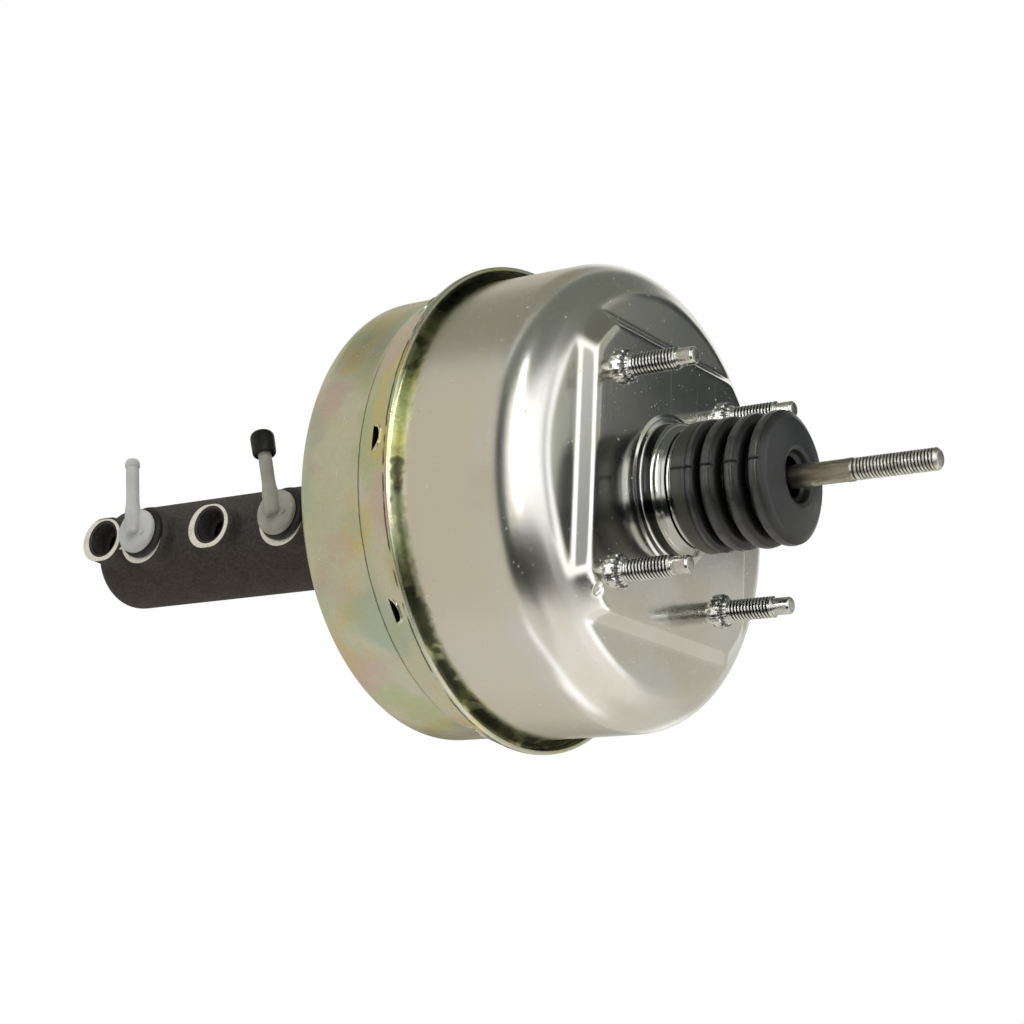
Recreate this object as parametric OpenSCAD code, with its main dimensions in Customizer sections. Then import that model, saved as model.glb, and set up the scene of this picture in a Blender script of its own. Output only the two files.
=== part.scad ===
// Vacuum brake booster with its tandem master cylinder.
// X runs along the axis, towards the pedal. X = 0 is the face that lies on the firewall.
// The origin is the middle of the four firewall studs, and Z points up.

/* [Shells] */
// Wall of the two pressed shells
sheet_t = 1.8; // [1.4:0.1:2.2]
// Outer radius of the rear shell's drum
shell_r = 102.5; // [95:0.5:125]
// How much smaller the front shell's drum is than the rear one, in radius
front_step = 2.3; // [1.5:0.1:3]
// Height of the collar's rear edge over the rear drum
collar_rise = 6.5; // [5:0.1:8]
// Firewall face to the collar's rear edge
rim_depth = 72; // [64:1:84]
// Length of the flared collar
collar_len = 20; // [17:0.5:24]
// Collar's rear edge to the front face
front_depth = 53; // [48:1:64]
// Radius of the front shell's corner
front_corner = 11; // [8:0.5:14]
// Number of lances that lock the collar
lance_count = 9; // [6:1:12]
// Length of one lance along the collar
lance_len = 11; // [9:0.5:13]
// Width of one lance
lance_w = 4.8; // [3:0.1:5]

/* [Rear pad] */
// Stud to stud, across
stud_pitch_y = 86; // [80:1:92]
// Stud to stud, upwards
stud_pitch_z = 88; // [80:1:92]
// Fold line of the pad's left and right edge, beyond the studs
side_margin = 18.8; // [16:0.1:19.5]
// Fold line of the pad's top and bottom edge, beyond the studs
top_margin = 16.7; // [14:0.1:18]
// Radius of the dimple by the lower near corner of the pad
dimple_r = 3.1; // [2:0.1:3.1]
// Depth of that dimple
dimple_deep = 0.8; // [0.3:0.1:1]
// Drop from the pad to the four D shaped ledges
ledge_drop = 5.5; // [4:0.5:7]
// Length of the pad's slope at its left and right edge
side_run = 8.7; // [6:0.1:10]
// Length of the pad's slope at its top and bottom edge
top_run = 5.5; // [4.5:0.1:8]
// Radius of the folds at the pad's left and right edge
side_fold = 8.6; // [4:0.2:9]
// Radius of the folds at the pad's top and bottom edge
top_fold = 3; // [2.6:0.1:6]
// Radial size of the sloping shoulder, from the drum's wall to the pad's plane
shoulder_run = 25.6; // [23:0.1:28]
// Slope of the shoulder against the pad, in degrees
shoulder_slope = 30; // [26:1:34]
// Radius between the drum's wall and the shoulder
corner_round = 19.5; // [16:0.5:22]
// Outer radius of the raised boss round the valve tube
boss_r = 29.3; // [28:0.1:31]
// Height of the boss over the pad
boss_h = 6; // [5.5:0.1:8]
// Outer radius of the neck that holds the boot
neck_r = 24; // [23.4:0.1:25]
// Neck's end, behind the pad
neck_x = 13; // [12:0.5:14]

/* [Studs] */
// Thread radius of the firewall studs, three eighths of an inch across
stud_r = 4.76; // [4:0.01:5]
// Stud tip behind the pad
stud_len = 34; // [28:1:42]
// Radius of the stud's plain end
dog_r = 3.85; // [3.2:0.05:3.9]
// Length of the stud's plain end
dog_len = 7.5; // [5:0.5:10]
// Radius of the toothed collar at the stud's root
stud_collar_r = 7.6; // [7:0.1:8.4]

/* [Push rod and boot] */
// Radius of the push rod's shank
rod_r = 5; // [4.8:0.05:5.3]
// Radius of the push rod's thread
rod_thread_r = 4.76; // [4:0.01:4.8]
// Where the thread begins
rod_thread_x = 85; // [80:1:95]
// Tip of the push rod
rod_tip_x = 123; // [118:1:140]
// Outer radius of the boot's folds
fold_r = 28.5; // [28:0.1:31]
// Distance from fold to fold
fold_pitch = 11.3; // [11:0.1:12]
// Middle of the first fold
fold_x = 19; // [18.5:0.1:20]
// Radius at the valleys between the folds
valley_r = 23; // [22.5:0.1:24]
// Rubber thickness of the boot
boot_t = 1.5; // [1.2:0.1:1.8]

/* [Valve and power piston] */
// Radius of the valve body's rear tube
tube_r = 19; // [18.5:0.1:19.5]
// Radius of the valve body's hub
hub_r = 31; // [29:0.5:33]
// Rear face of the diaphragm plate
plate_x = -14; // [-16:0.5:-13.5]
// Sheet of the diaphragm plate
plate_t = 1.6; // [1.2:0.1:2]
// Rubber thickness of the diaphragm
rubber_t = 2; // [1.6:0.1:2.2]
// Radius of the air valve plunger
plunger_r = 7; // [6.8:0.1:7.2]
// Travel of the plunger in the valve body
valve_travel = 2; // [1.5:0.1:2]
// Radius of the reaction disc and of the output rod's head
disc_r = 11; // [10:0.1:12]
// Radius of the output rod
output_r = 4.76; // [4:0.01:5]

/* [Master cylinder] */
// Bore radius, fifteen sixteenths of an inch across
mc_bore_r = 11.9; // [11.1:0.05:12.7]
// Outer radius of the barrel
mc_r = 25; // [23:0.5:27]
// Front shell's face to the barrel's front end
mc_len = 196; // [194:1:210]
// Metal in front of the bore
mc_end_wall = 10; // [8:0.5:12]
// Upward roll of the ports about the barrel, in degrees
mc_roll = 4.2; // [0:0.1:10]
// Barrel axis to the outlet ports' faces
port_face = 34; // [33:0.5:38]
// Barrel axis to the inlet bosses' faces
inlet_face = 33; // [31:0.5:34]
// Radius of the tapped outlet ports
port_r = 7.6; // [6.5:0.1:8]
// Distance between the two master cylinder studs
mc_stud_pitch = 86; // [82:1:92]
// Radius of the master cylinder studs
mc_stud_r = 4.76; // [4:0.01:5]

/* [Clearances] */
// Radial running clearance of a sliding or turning fit
running = 0.05; // [0.02:0.01:0.1]
// Gap between pieces that only come near each other
gap = 0.3; // [0.2:0.05:0.4]

/* [Hidden] */
$fn = 96;
round_steps = 6;

rim_x = -rim_depth;
crease_x = rim_x - collar_len;
face_x = rim_x - front_depth;
collar_r = shell_r + collar_rise;
front_r = shell_r - front_step;
crease_r = front_r + 1.4;
collar_flat = 2;
pad_y = stud_pitch_y / 2 + side_margin;
pad_z = stud_pitch_z / 2 + top_margin;
cone_r = shell_r - shoulder_run;
cone_round = 8;
corner_x = -(shell_r - corner_round * (1 - sin(shoulder_slope)) - cone_r) * tan(shoulder_slope)
    - corner_round * cos(shoulder_slope);
boss_round = 3;
dimple_ball = (dimple_r * dimple_r + dimple_deep * dimple_deep) / (2 * dimple_deep);
boss_foot = 3.2;
neck_in_r = neck_r - sheet_t;
stud_head_r = 10;
stud_head_t = 3.5;
spigot_r = 16.8;
spigot_len = 8;
mc_flange_t = 12;
nut_across = 14.3;
nut_h = 8;

inner_face_x = face_x + sheet_t;
plate_in_x = inner_face_x + 3;
seal_rear_x = boss_h - sheet_t;
disc_x = plate_x - 42;
pivot_x = plate_x - 16;
seat_x = plate_x - 6;
tube_end_x = 40;
tube_in_r = tube_r - 2.8;
plate_out_r = shell_r - 10;
boot_lip_x = neck_x - 4.5;
boot_end_x = fold_x + 3 * fold_pitch + 6.9;

mc_front_x = face_x - mc_len;
bore_end_x = mc_front_x + mc_end_wall;
front_port_x = mc_front_x + 16;
front_inlet_x = mc_front_x + 42.3;
rear_port_x = mc_front_x + 85.2;
rear_inlet_x = mc_front_x + 130;
spigot_end_x = face_x + spigot_len;
primary_rear_x = spigot_end_x - 4.4;
primary_cup_x = rear_inlet_x + 1.8;
secondary_rear_x = rear_port_x - 2.4;
secondary_cup_x = front_inlet_x + 2.7;
head_r = 10.8;
head_t = 4;
grommet_r = 12.3;
grommet_t = 3.5;
elbow_hole_r = 6;
nipple_r = 3.2;
nipple_bead_r = nipple_r + 0.45;
nipple_base_r = 3.95;
front_lean = -2.9;
rear_lean = -9.4;
nipple_top = 44;
cap_len = 12.3;
cap_r = 5.7;
check_y = 42;
check_z = 50;
check_hole_r = 9.5;

// Arc of n steps in a profile of [x, r] points.
function arc(cx, cr, rad, a0, a1, n = round_steps) =
    [for (i = [0:n]) let (a = a0 + (a1 - a0) * i / n) [cx + rad * cos(a), cr + rad * sin(a)]];

// Solid of revolution about X from [x, r] points.
module turned(profile, sides = 96) {
    rotate([0, 90, 0])
        rotate_extrude($fn = sides)
            polygon([for (p = profile) [p[1], p[0]]]);
}

// Cylinder along X from x0 to x1.
module rod(x0, x1, r, sides = 64) {
    translate([x0, 0, 0])
        rotate([0, 90, 0])
            cylinder(h = x1 - x0, r = r, $fn = sides);
}

// Ring along X.
module ring(x0, x1, r_out, r_in, sides = 96) {
    turned([[x0, r_in], [x1, r_in], [x1, r_out], [x0, r_out]], sides);
}

// Coil spring along X with a closed turn at each end.
function coil_x(t, turns, x0, x1, wire) =
    let (dead = 2.1 * wire)
    t < 1 ? x0 + wire + dead * t
    : t > turns - 1 ? x1 - wire - dead * (turns - t)
    : x0 + wire + dead + (x1 - x0 - 2 * wire - 2 * dead) * (t - 1) / (turns - 2);

module coil(x0, x1, r0, r1, wire, turns, steps = 18, sides = 8) {
    rings = round(turns * steps);
    points = [for (i = [0:rings], k = [0:sides - 1])
        let (t = turns * i / rings, a = 360 * t, b = 360 * k / sides,
            r = r0 + (r1 - r0) * t / turns + wire * cos(b))
        [coil_x(t, turns, x0, x1, wire) + wire * sin(b), r * cos(a), r * sin(a)]];
    sides_faces = [for (i = [0:rings - 1], k = [0:sides - 1], h = [0, 1])
        let (a = i * sides + k, b = i * sides + (k + 1) % sides, c = a + sides, d = b + sides)
        h == 0 ? [a, b, d] : [a, d, c]];
    first_cap = [for (k = [0:sides - 1]) sides - 1 - k];
    last_cap = [for (k = [0:sides - 1]) rings * sides + k];
    polyhedron(points, concat(sides_faces, [first_cap, last_cap]), convexity = 8);
}

// Rear of the drum as [x, r] points: the corner, the sloping shoulder and a soft edge at the pad's plane.
function rear_dome(inset) =
    let (corner = corner_round - inset, edge = cone_round - inset,
        mid_r = cone_r - cone_round * tan(shoulder_slope / 2))
    concat([for (i = [0:8]) let (t = 90 - (90 - shoulder_slope) * i / 8)
            [corner_x + corner * cos(t), shell_r - corner_round + corner * sin(t)]],
        [for (i = [0:4]) let (t = shoulder_slope * (1 - i / 4))
            [edge * cos(t) - cone_round, mid_r + edge * sin(t)]]);

// Half outline of the pad's edge, with a fold at its top and a hollow at its foot.
function pad_edge(half, run, round_r, inset) =
    let (slope = atan(ledge_drop / run), half_tan = tan(slope / 2), fold = half - inset * half_tan,
        r1 = round_r - inset, r2 = round_r + inset)
    concat(
        [for (i = [0:4]) let (t = slope * i / 4)
            [-inset - r1 * (1 - cos(t)), fold - r1 * half_tan + r1 * sin(t)]],
        [for (i = [4:-1:0]) let (t = slope * i / 4)
            [-inset - ledge_drop + r2 * (1 - cos(t)), fold + run + r2 * half_tan - r2 * sin(t)]],
        [[corner_x, fold + run + r2 * half_tan]]);

module pad_prism(half, run, round_r, inset) {
    edge = pad_edge(half, run, round_r, inset);
    last = len(edge) - 1;
    linear_extrude(height = 2 * shell_r, center = true)
        polygon(concat(edge, [for (i = [last:-1:0]) [edge[i][0], -edge[i][1]]]));
}

// The rear shell's outer form, or its hollow when the inset is the sheet.
module rear_form(inset, from_x) {
    intersection() {
        turned(concat([[from_x, 0], [from_x, shell_r - inset]], rear_dome(inset), [[-inset, 0]]), 180);
        union() {
            intersection() {
                pad_prism(pad_y, side_run, side_fold, inset);
                rotate([90, 0, 0])
                    pad_prism(pad_z, top_run, top_fold, inset);
            }
            rod(from_x - 1, -ledge_drop - inset, 2 * shell_r);
        }
    }
}

// Radius of the collar's outside at x.
function collar_at(x) =
    x > rim_x - collar_flat ? collar_r
    : crease_r + (collar_r - crease_r) * (x - crease_x) / (collar_len - collar_flat);

lip_end_x = crease_x + 6;
lip_start_x = rim_x - 3.5;
lip_gap = 0.3;
function lip_r(x) = collar_at(x) - sheet_t - lip_gap;

module rear_shell() {
    flare = shell_r - sheet_t;
    color([0.72, 0.71, 0.66])
        difference() {
            union() {
                rear_form(0, rim_x + 4);
                turned(concat([[lip_end_x, 0], [lip_end_x, lip_r(lip_end_x)], [lip_start_x, lip_r(lip_start_x)]],
                    [for (i = [0:round_steps]) let (t = 90 * i / round_steps, h = lip_r(lip_start_x) - shell_r)
                        [lip_start_x + 7.5 - 7.5 * cos(t), shell_r + h - h * sin(t)]],
                    [[rim_x + 5, 0]]), 180);
                turned(concat([[-sheet_t - 1, 0], [-sheet_t - 1, boss_r + boss_foot]],
                    arc(boss_foot, boss_r + boss_foot, boss_foot, 180, 270),
                    arc(boss_h - boss_round, boss_r - boss_round, boss_round, 90, 0),
                    [[boss_h, neck_r + 1], [boss_h + 1, neck_r], [neck_x - 3, neck_r], [neck_x - 2.2, neck_r + 0.6],
                    [neck_x, neck_r], [neck_x, 0]]));
            }
            rear_form(sheet_t, rim_x + 3);
            turned(concat([[lip_end_x - 1, 0], [lip_end_x - 1, lip_r(lip_end_x - 1) - sheet_t],
                [lip_start_x, lip_r(lip_start_x) - sheet_t]],
                [for (i = [0:round_steps]) let (t = 90 * i / round_steps, h = lip_r(lip_start_x) - shell_r)
                    [lip_start_x + 6.5 - 6.5 * cos(t), flare + h - h * sin(t)]],
                [[rim_x + 4, flare], [rim_x + 4, 0]]), 180);
            rod(-sheet_t - 2, seal_rear_x, boss_r - sheet_t);
            rod(0, neck_x + 1, neck_in_r);
            for (y = [-1, 1], z = [-1, 1])
                translate([0, y * stud_pitch_y / 2, z * stud_pitch_z / 2])
                    rod(-10, 10, stud_collar_r + running);
            translate([dimple_ball - dimple_deep, -stud_pitch_y / 2 - 13, -stud_pitch_z / 2 - 10])
                sphere(r = dimple_ball, $fn = 48);
        }
}

// One lance: a half round opening cut through the collar.
module lance(angle) {
    rotate([angle, 0, 0])
        translate([rim_x - 11.4, 0, 0])
            intersection() {
                translate([0, -collar_r + 2 * collar_rise, 0])
                    rotate([90, 0, 0])
                        cylinder(h = 3 * collar_rise, r = lance_len / 2, $fn = 48);
                translate([0, -collar_r - collar_rise, -lance_len])
                    cube([lance_w, 3 * collar_rise, 2 * lance_len]);
            }
}

module front_shell() {
    outer_r = front_r;
    inner_r = front_r - sheet_t;
    corner_in = front_corner - sheet_t;
    bead_r = 62;
    bead = 2.5;
    color([0.64, 0.63, 0.50])
        difference() {
            turned(concat(
                [[face_x, 0], [face_x, bead_r - 8], [face_x + bead, bead_r - 4], [face_x + bead, bead_r + 4],
                [face_x, bead_r + 8]],
                arc(face_x + front_corner, outer_r - front_corner, front_corner, 180, 90),
                [[crease_x - 2, outer_r], [crease_x, crease_r], [rim_x - collar_flat, collar_r], [rim_x, collar_r],
                [rim_x, 0]]), 180);
            turned(concat(
                [[inner_face_x, 0], [inner_face_x, bead_r - 8 - 0.4], [inner_face_x + bead, bead_r - 4 - 0.4],
                [inner_face_x + bead, bead_r + 4 + 0.4], [inner_face_x, bead_r + 8 + 0.4]],
                arc(face_x + front_corner, outer_r - front_corner, corner_in, 180, 90),
                [[crease_x, inner_r], [crease_x, crease_r - sheet_t], [rim_x - collar_flat, collar_r - sheet_t],
                [rim_x + 1, collar_r - sheet_t], [rim_x + 1, 0]]), 180);
            rod(face_x - 1, inner_face_x + 1, spigot_r + gap);
            for (y = [-1, 1])
                translate([0, y * mc_stud_pitch / 2, 0])
                    rod(face_x - 1, inner_face_x + 1, mc_stud_r + running);
            translate([0, check_y, check_z])
                rod(face_x - 1, inner_face_x + 5, check_hole_r);
            for (i = [0:lance_count - 1])
                lance(-4 + 360 * i / lance_count);
        }
}

// Plate behind the front shell that spreads the load of the master cylinder studs.
module front_plate() {
    color([0.55, 0.55, 0.52])
        difference() {
            intersection() {
                rod(inner_face_x, plate_in_x, mc_stud_pitch / 2 + 9);
                translate([inner_face_x, -mc_stud_pitch, -26])
                    cube([10, 2 * mc_stud_pitch, 52]);
            }
            rod(inner_face_x - 1, plate_in_x + 1, spigot_r + gap);
            for (y = [-1, 1])
                translate([0, y * mc_stud_pitch / 2, 0])
                    rod(inner_face_x - 1, plate_in_x + 1, mc_stud_r + running);
        }
}

module mc_studs() {
    tip_x = face_x - mc_flange_t - nut_h - 6;
    color([0.7, 0.7, 0.68])
        for (y = [-1, 1])
            translate([0, y * mc_stud_pitch / 2, 0]) {
                turned([[tip_x, 0], [tip_x, mc_stud_r - 1], [tip_x + 1, mc_stud_r], [plate_in_x, mc_stud_r],
                    [plate_in_x, 7.5], [plate_in_x + 3, 7.5], [plate_in_x + 3.6, 6.8], [plate_in_x + 3.6, 0]]);
            }
}

module mc_nuts() {
    far_x = face_x - mc_flange_t - nut_h;
    color([0.7, 0.7, 0.68])
        for (y = [-1, 1])
            translate([0, y * mc_stud_pitch / 2, 0])
                difference() {
                    union() {
                        translate([far_x, 0, 0])
                            rotate([0, 90, 0])
                                cylinder(h = nut_h - 1, r = nut_across / sqrt(3), $fn = 6);
                        rod(far_x + nut_h - 1, far_x + nut_h, nut_across / 2);
                    }
                    rod(far_x - 1, far_x + nut_h + 1, mc_stud_r + running);
                }
}

module firewall_studs() {
    teeth = 14;
    color([0.78, 0.78, 0.76])
        for (y = [-1, 1], z = [-1, 1])
            translate([0, y * stud_pitch_y / 2, z * stud_pitch_z / 2])
                difference() {
                    turned([[-sheet_t - stud_head_t, 0], [-sheet_t - stud_head_t, stud_head_r - 1],
                        [-sheet_t - stud_head_t + 1, stud_head_r], [-sheet_t, stud_head_r], [-sheet_t, stud_collar_r],
                        [1.3, stud_collar_r], [1.9, stud_collar_r - 0.6],
                        [1.9, stud_collar_r - 1.4], [3.4, stud_collar_r - 1.8], [4, stud_r],
                        [stud_len - dog_len - 0.9, stud_r], [stud_len - dog_len, dog_r],
                        [stud_len - 0.8, dog_r], [stud_len, dog_r - 0.8], [stud_len, 0]], 48);
                    for (i = [0:teeth - 1])
                        rotate([360 * i / teeth, 0, 0])
                            translate([0, 0, stud_collar_r + 0.35])
                                rod(0.6, 4, 0.8, 16);
                }
}

// Lip seal round the valve body's tube.
module rear_seal() {
    pocket_r = boss_r - sheet_t;
    color([0.1, 0.1, 0.1])
        turned([[-sheet_t, tube_r + running], [0.4, tube_r + running], [0.9, tube_r + 1.2], [2.6, tube_r + 1.2],
            [3, tube_r + running], [seal_rear_x, tube_r + running], [seal_rear_x, pocket_r], [-sheet_t, pocket_r]]);
}

// Pressed ring that keeps the seal in the boss.
module seal_retainer() {
    pocket_r = boss_r - sheet_t;
    color([0.6, 0.6, 0.58])
        ring(-sheet_t - 1, -sheet_t, pocket_r + 3, tube_r + 1);
}

// Bellows boot between the neck and the push rod.
function boot_outside() = concat(
    [[boot_lip_x, neck_r + 2.6], [boot_lip_x + 0.6, neck_r + 3.4], [neck_x - 0.6, neck_r + 3.4]],
    [for (i = [0:3]) each [
        [fold_x + i * fold_pitch - 3.6, i == 0 ? fold_r - 1.2 : fold_r - 1.6],
        [fold_x + i * fold_pitch - 2.4, fold_r - 0.4],
        [fold_x + i * fold_pitch - 1, fold_r],
        [fold_x + i * fold_pitch + 1.6, fold_r],
        [fold_x + i * fold_pitch + 2.9, fold_r - 0.6],
        [fold_x + i * fold_pitch + 4, i == 3 ? fold_r - 1.6 : fold_r - 2.2],
        i == 3 ? [boot_end_x - 0.6, rod_r + 12] : [fold_x + (i + 0.5) * fold_pitch, valley_r]]],
    [[boot_end_x, rod_r + 5], [boot_end_x, rod_r + 4.2], [boot_end_x - 3, rod_r + 3.2]]);

function boot_inside() = concat(
    [[boot_end_x - 3, rod_r + gap], [boot_end_x - 5, rod_r + gap], [boot_end_x - 5, rod_r + 4],
    [boot_end_x - 3.4, rod_r + 11]],
    [for (i = [3:-1:0]) each [
        [fold_x + i * fold_pitch + 2.6, fold_r - boot_t - 1],
        [fold_x + i * fold_pitch + 1, fold_r - boot_t],
        [fold_x + i * fold_pitch - 1, fold_r - boot_t],
        i == 0 ? [fold_x - 4.4, fold_r - boot_t - 2] : [fold_x + (i - 0.5) * fold_pitch, valley_r - boot_t]]],
    [[neck_x + gap, neck_r + 0.6 + gap], [boot_lip_x, neck_r + 0.6 + gap]]);

module boot() {
    color([0.12, 0.12, 0.13])
        turned(concat(boot_outside(), boot_inside()));
}

// Rolling diaphragm: its bead is clamped by the shells, its middle by the valve body.
module diaphragm() {
    bead_x = crease_x + gap;
    bead_in = lip_end_x - 0.1;
    wall_in = plate_out_r + gap;
    wall_out = wall_in + rubber_t;
    web_r = plate_out_r - 14.6;
    color([0.09, 0.09, 0.09])
        turned([[bead_x, collar_at(bead_x) - sheet_t - gap], [bead_in, collar_at(bead_in) - sheet_t - gap],
            [bead_in, wall_out + 0.4], [plate_x - 22, wall_out], [plate_x - 20.4, wall_out - 0.9],
            [plate_x + rubber_t + gap, web_r + 1.2], [plate_x + rubber_t + gap, hub_r + 3],
            [plate_x + 6, hub_r + 2], [plate_x + 6, hub_r - 4 + gap], [plate_x + gap, hub_r - 4 + gap],
            [plate_x + gap, web_r + 0.1], [plate_x - 21.5, plate_out_r - 0.3], [plate_x - 23, wall_in],
            [bead_x, wall_in]], 180);
}

// Dished steel plate that carries the diaphragm.
module diaphragm_plate() {
    t = plate_t;
    lip_x = plate_x - 32;
    color([0.62, 0.6, 0.5])
        turned([[plate_x - t, hub_r + running], [plate_x, hub_r + running], [plate_x, plate_out_r - 14.6],
            [plate_x - 21.8, plate_out_r - 0.6], [plate_x - 23, plate_out_r], [lip_x, plate_out_r],
            [lip_x, plate_out_r - t], [plate_x - 22.6, plate_out_r - t], [plate_x - t, plate_out_r - 15.6],
            [plate_x - t, hub_r + 24], [plate_x - t - 3, hub_r + 20], [plate_x - t - 3, hub_r + 14],
            [plate_x - t, hub_r + 10]], 180);
}

key_x = pivot_x - 16.2;
key_t = 2.4;
key_w = 16;
neck_groove_r = 4.5;

// Moulded valve body: hub, plunger bore, vacuum seat and the tube that runs in the rear seal.
module valve_body() {
    front_x = disc_x - 8;
    ledge_x = disc_x + 6;
    seat_r = 14;
    ribs = 8;
    vents = 3;
    color([0.16, 0.16, 0.17])
        difference() {
            union() {
                turned([[front_x, disc_r + running], [front_x, 17], [ledge_x, 17], [ledge_x, hub_r],
                    [plate_x, hub_r], [plate_x, hub_r - 4], [plate_x + 6 + gap, hub_r - 4],
                    [plate_x + 6 + gap, hub_r - 1], [plate_x + 8.2, hub_r - 1], [plate_x + 8.2, tube_r],
                    [tube_end_x - 0.8, tube_r], [tube_end_x, tube_r - 0.8], [tube_end_x, tube_in_r],
                    [seat_x + 5, tube_in_r], [seat_x - 1, tube_in_r], [seat_x - 1, seat_r + 0.8],
                    [seat_x, seat_r + 0.4], [seat_x, seat_r - 0.4], [seat_x - 1, seat_r - 0.8],
                    [seat_x - 4, 12.2], [pivot_x + 4, 12.2], [pivot_x - 1, plunger_r + running],
                    [disc_x, plunger_r + running], [disc_x, disc_r + running]]);
                ring(plate_x - plate_t - 2.5, plate_x - plate_t, hub_r + 3, hub_r - 1);
                for (i = [0:ribs - 1])
                    rotate([360 * i / ribs + 22.5, 0, 0])
                        translate([ledge_x - 7, -1.25, 15.5])
                            cube([8, 2.5, 6]);
            }
            translate([key_x - key_t / 2 - gap, -key_w / 2 - gap, -neck_groove_r - 6])
                cube([key_t + 2 * gap, key_w + 2 * gap, hub_r + 20]);
            for (i = [0:vents - 1])
                rotate([360 * i / vents + 180, 0, 0])
                    translate([seat_x - 24, -3, tube_in_r - 1.2])
                        cube([30, 6, 2.4]);
        }
}

// Forked key that limits the plunger's travel.
module valve_key() {
    color([0.6, 0.6, 0.6])
        difference() {
            translate([key_x - key_t / 2, -key_w / 2, -neck_groove_r - 5])
                cube([key_t, key_w, hub_r + neck_groove_r + 4]);
            translate([key_x - key_t, -neck_groove_r - gap, -neck_groove_r - 6])
                cube([2 * key_t, 2 * (neck_groove_r + gap), neck_groove_r + 6]);
            rod(key_x - key_t, key_x + key_t, neck_groove_r + gap);
        }
}

module reaction_disc() {
    color([0.15, 0.12, 0.1])
        turned([[disc_x - 6, 0], [disc_x - 6, disc_r - 0.5], [disc_x - 5.5, disc_r], [disc_x - 0.5, disc_r],
            [disc_x, disc_r - 0.5], [disc_x, 0]]);
}

output_head_x = disc_x - 6;
output_end_x = primary_rear_x + 8;

module output_rod() {
    color([0.72, 0.7, 0.6])
        difference() {
            turned([[output_end_x, 0], [output_end_x, output_r], [output_head_x - 8, output_r],
                [output_head_x - 6, output_r + 2], [output_head_x - 3.2, output_r + 2.6],
                [output_head_x - 3, disc_r - 0.3], [output_head_x, disc_r], [output_head_x, 0]]);
            rod(output_end_x - 1, output_end_x + 17, 2.5 + running);
        }
}

// Screw in the output rod's end that sets its length.
module adjuster_screw() {
    tip_x = primary_rear_x - 11.7;
    color([0.75, 0.74, 0.7])
        union() {
            turned([[tip_x, 0], [tip_x + 0.4, 1.6], [tip_x + 1.6, 3], [tip_x + 3.5, 3.6],
                [output_end_x - 5, 3.6], [output_end_x - 5, 2.5], [output_end_x + 15, 2.5], [output_end_x + 15, 0]]);
            translate([output_end_x - 5, 0, 0])
                rotate([0, 90, 0])
                    cylinder(h = 5, r = 4.6, $fn = 6);
        }
}

// Sprung washer that keeps the output rod's head in the valve body.
module output_retainer() {
    x = output_head_x - 3 - gap;
    color([0.5, 0.52, 0.56])
        turned([[x - 0.8, output_r + 2.6 + gap], [x, output_r + 2.6 + gap], [x, 17], [x + 1.2, 17 + running],
            [x + 6, 17 + running], [x + 6, 18], [x - 0.8, 18]]);
}

module return_spring() {
    color([0.45, 0.47, 0.5])
        coil(plate_in_x + 0.1, disc_x + 5.9, 30, 25.5, 1.9, 6.5, 22, 8);
}

// Air valve plunger, with the push rod's ball staked in its rear end.
module plunger() {
    front_x = disc_x + valve_travel + gap;
    color([0.66, 0.64, 0.55])
        difference() {
            turned([[front_x, 0], [front_x, plunger_r - 0.8], [front_x + 0.8, plunger_r],
                [key_x - key_t / 2 - 0.8, plunger_r], [key_x - key_t / 2 - 0.8, neck_groove_r],
                [key_x + key_t / 2 + valve_travel + gap, neck_groove_r],
                [key_x + key_t / 2 + valve_travel + gap, plunger_r], [seat_x - 4, plunger_r],
                [seat_x - 1.4, 9.4], [seat_x - gap / 2, 9.4], [seat_x - gap / 2, 8.4], [seat_x - 1.2, 7],
                [seat_x - 1.2, 0]]);
            translate([pivot_x, 0, 0])
                sphere(r = 5 + running, $fn = 48);
            turned([[pivot_x, 0], [pivot_x, 4.6], [pivot_x + 3, 4.6], [seat_x, 6.2], [seat_x, 0]]);
        }
}

// Rubber poppet whose face closes on the vacuum seat and the plunger.
module poppet() {
    color([0.1, 0.1, 0.11])
        turned([[seat_x + 0.1, 7.6], [seat_x + 0.1, 15.4], [seat_x + 2.6, 15.4], [seat_x + 3.2, 12],
            [seat_x + 9, 11.4], [seat_x + 14, 13.4], [seat_x + 20, 13.4], [seat_x + 20, tube_in_r - 0.1],
            [seat_x + 23, tube_in_r - 0.1], [seat_x + 23, 11.9], [seat_x + 13.4, 11.9], [seat_x + 8.6, 10],
            [seat_x + 3, 10], [seat_x + 3, 7.6]]);
}

module poppet_retainer() {
    color([0.7, 0.68, 0.6])
        turned([[seat_x + 23, 11.2], [seat_x + 23, tube_in_r - running], [seat_x + 29, tube_in_r - running],
            [seat_x + 29, tube_in_r - 1.2], [seat_x + 24.2, tube_in_r - 1.2], [seat_x + 24.2, 11.2]]);
}

module poppet_spring() {
    color([0.6, 0.6, 0.6])
        coil(seat_x + 3, seat_x + 23, 8.8, 8.8, 0.45, 6, 14, 6);
}

module rod_spring() {
    color([0.6, 0.6, 0.6])
        coil(seat_x + 24.2, seat_x + 47.6, 13.4, 8.2, 0.8, 5, 16, 6);
}

module spring_seat() {
    color([0.7, 0.68, 0.6])
        ring(seat_x + 47.6, seat_x + 49.2, 9.6, rod_r + running);
}

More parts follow.
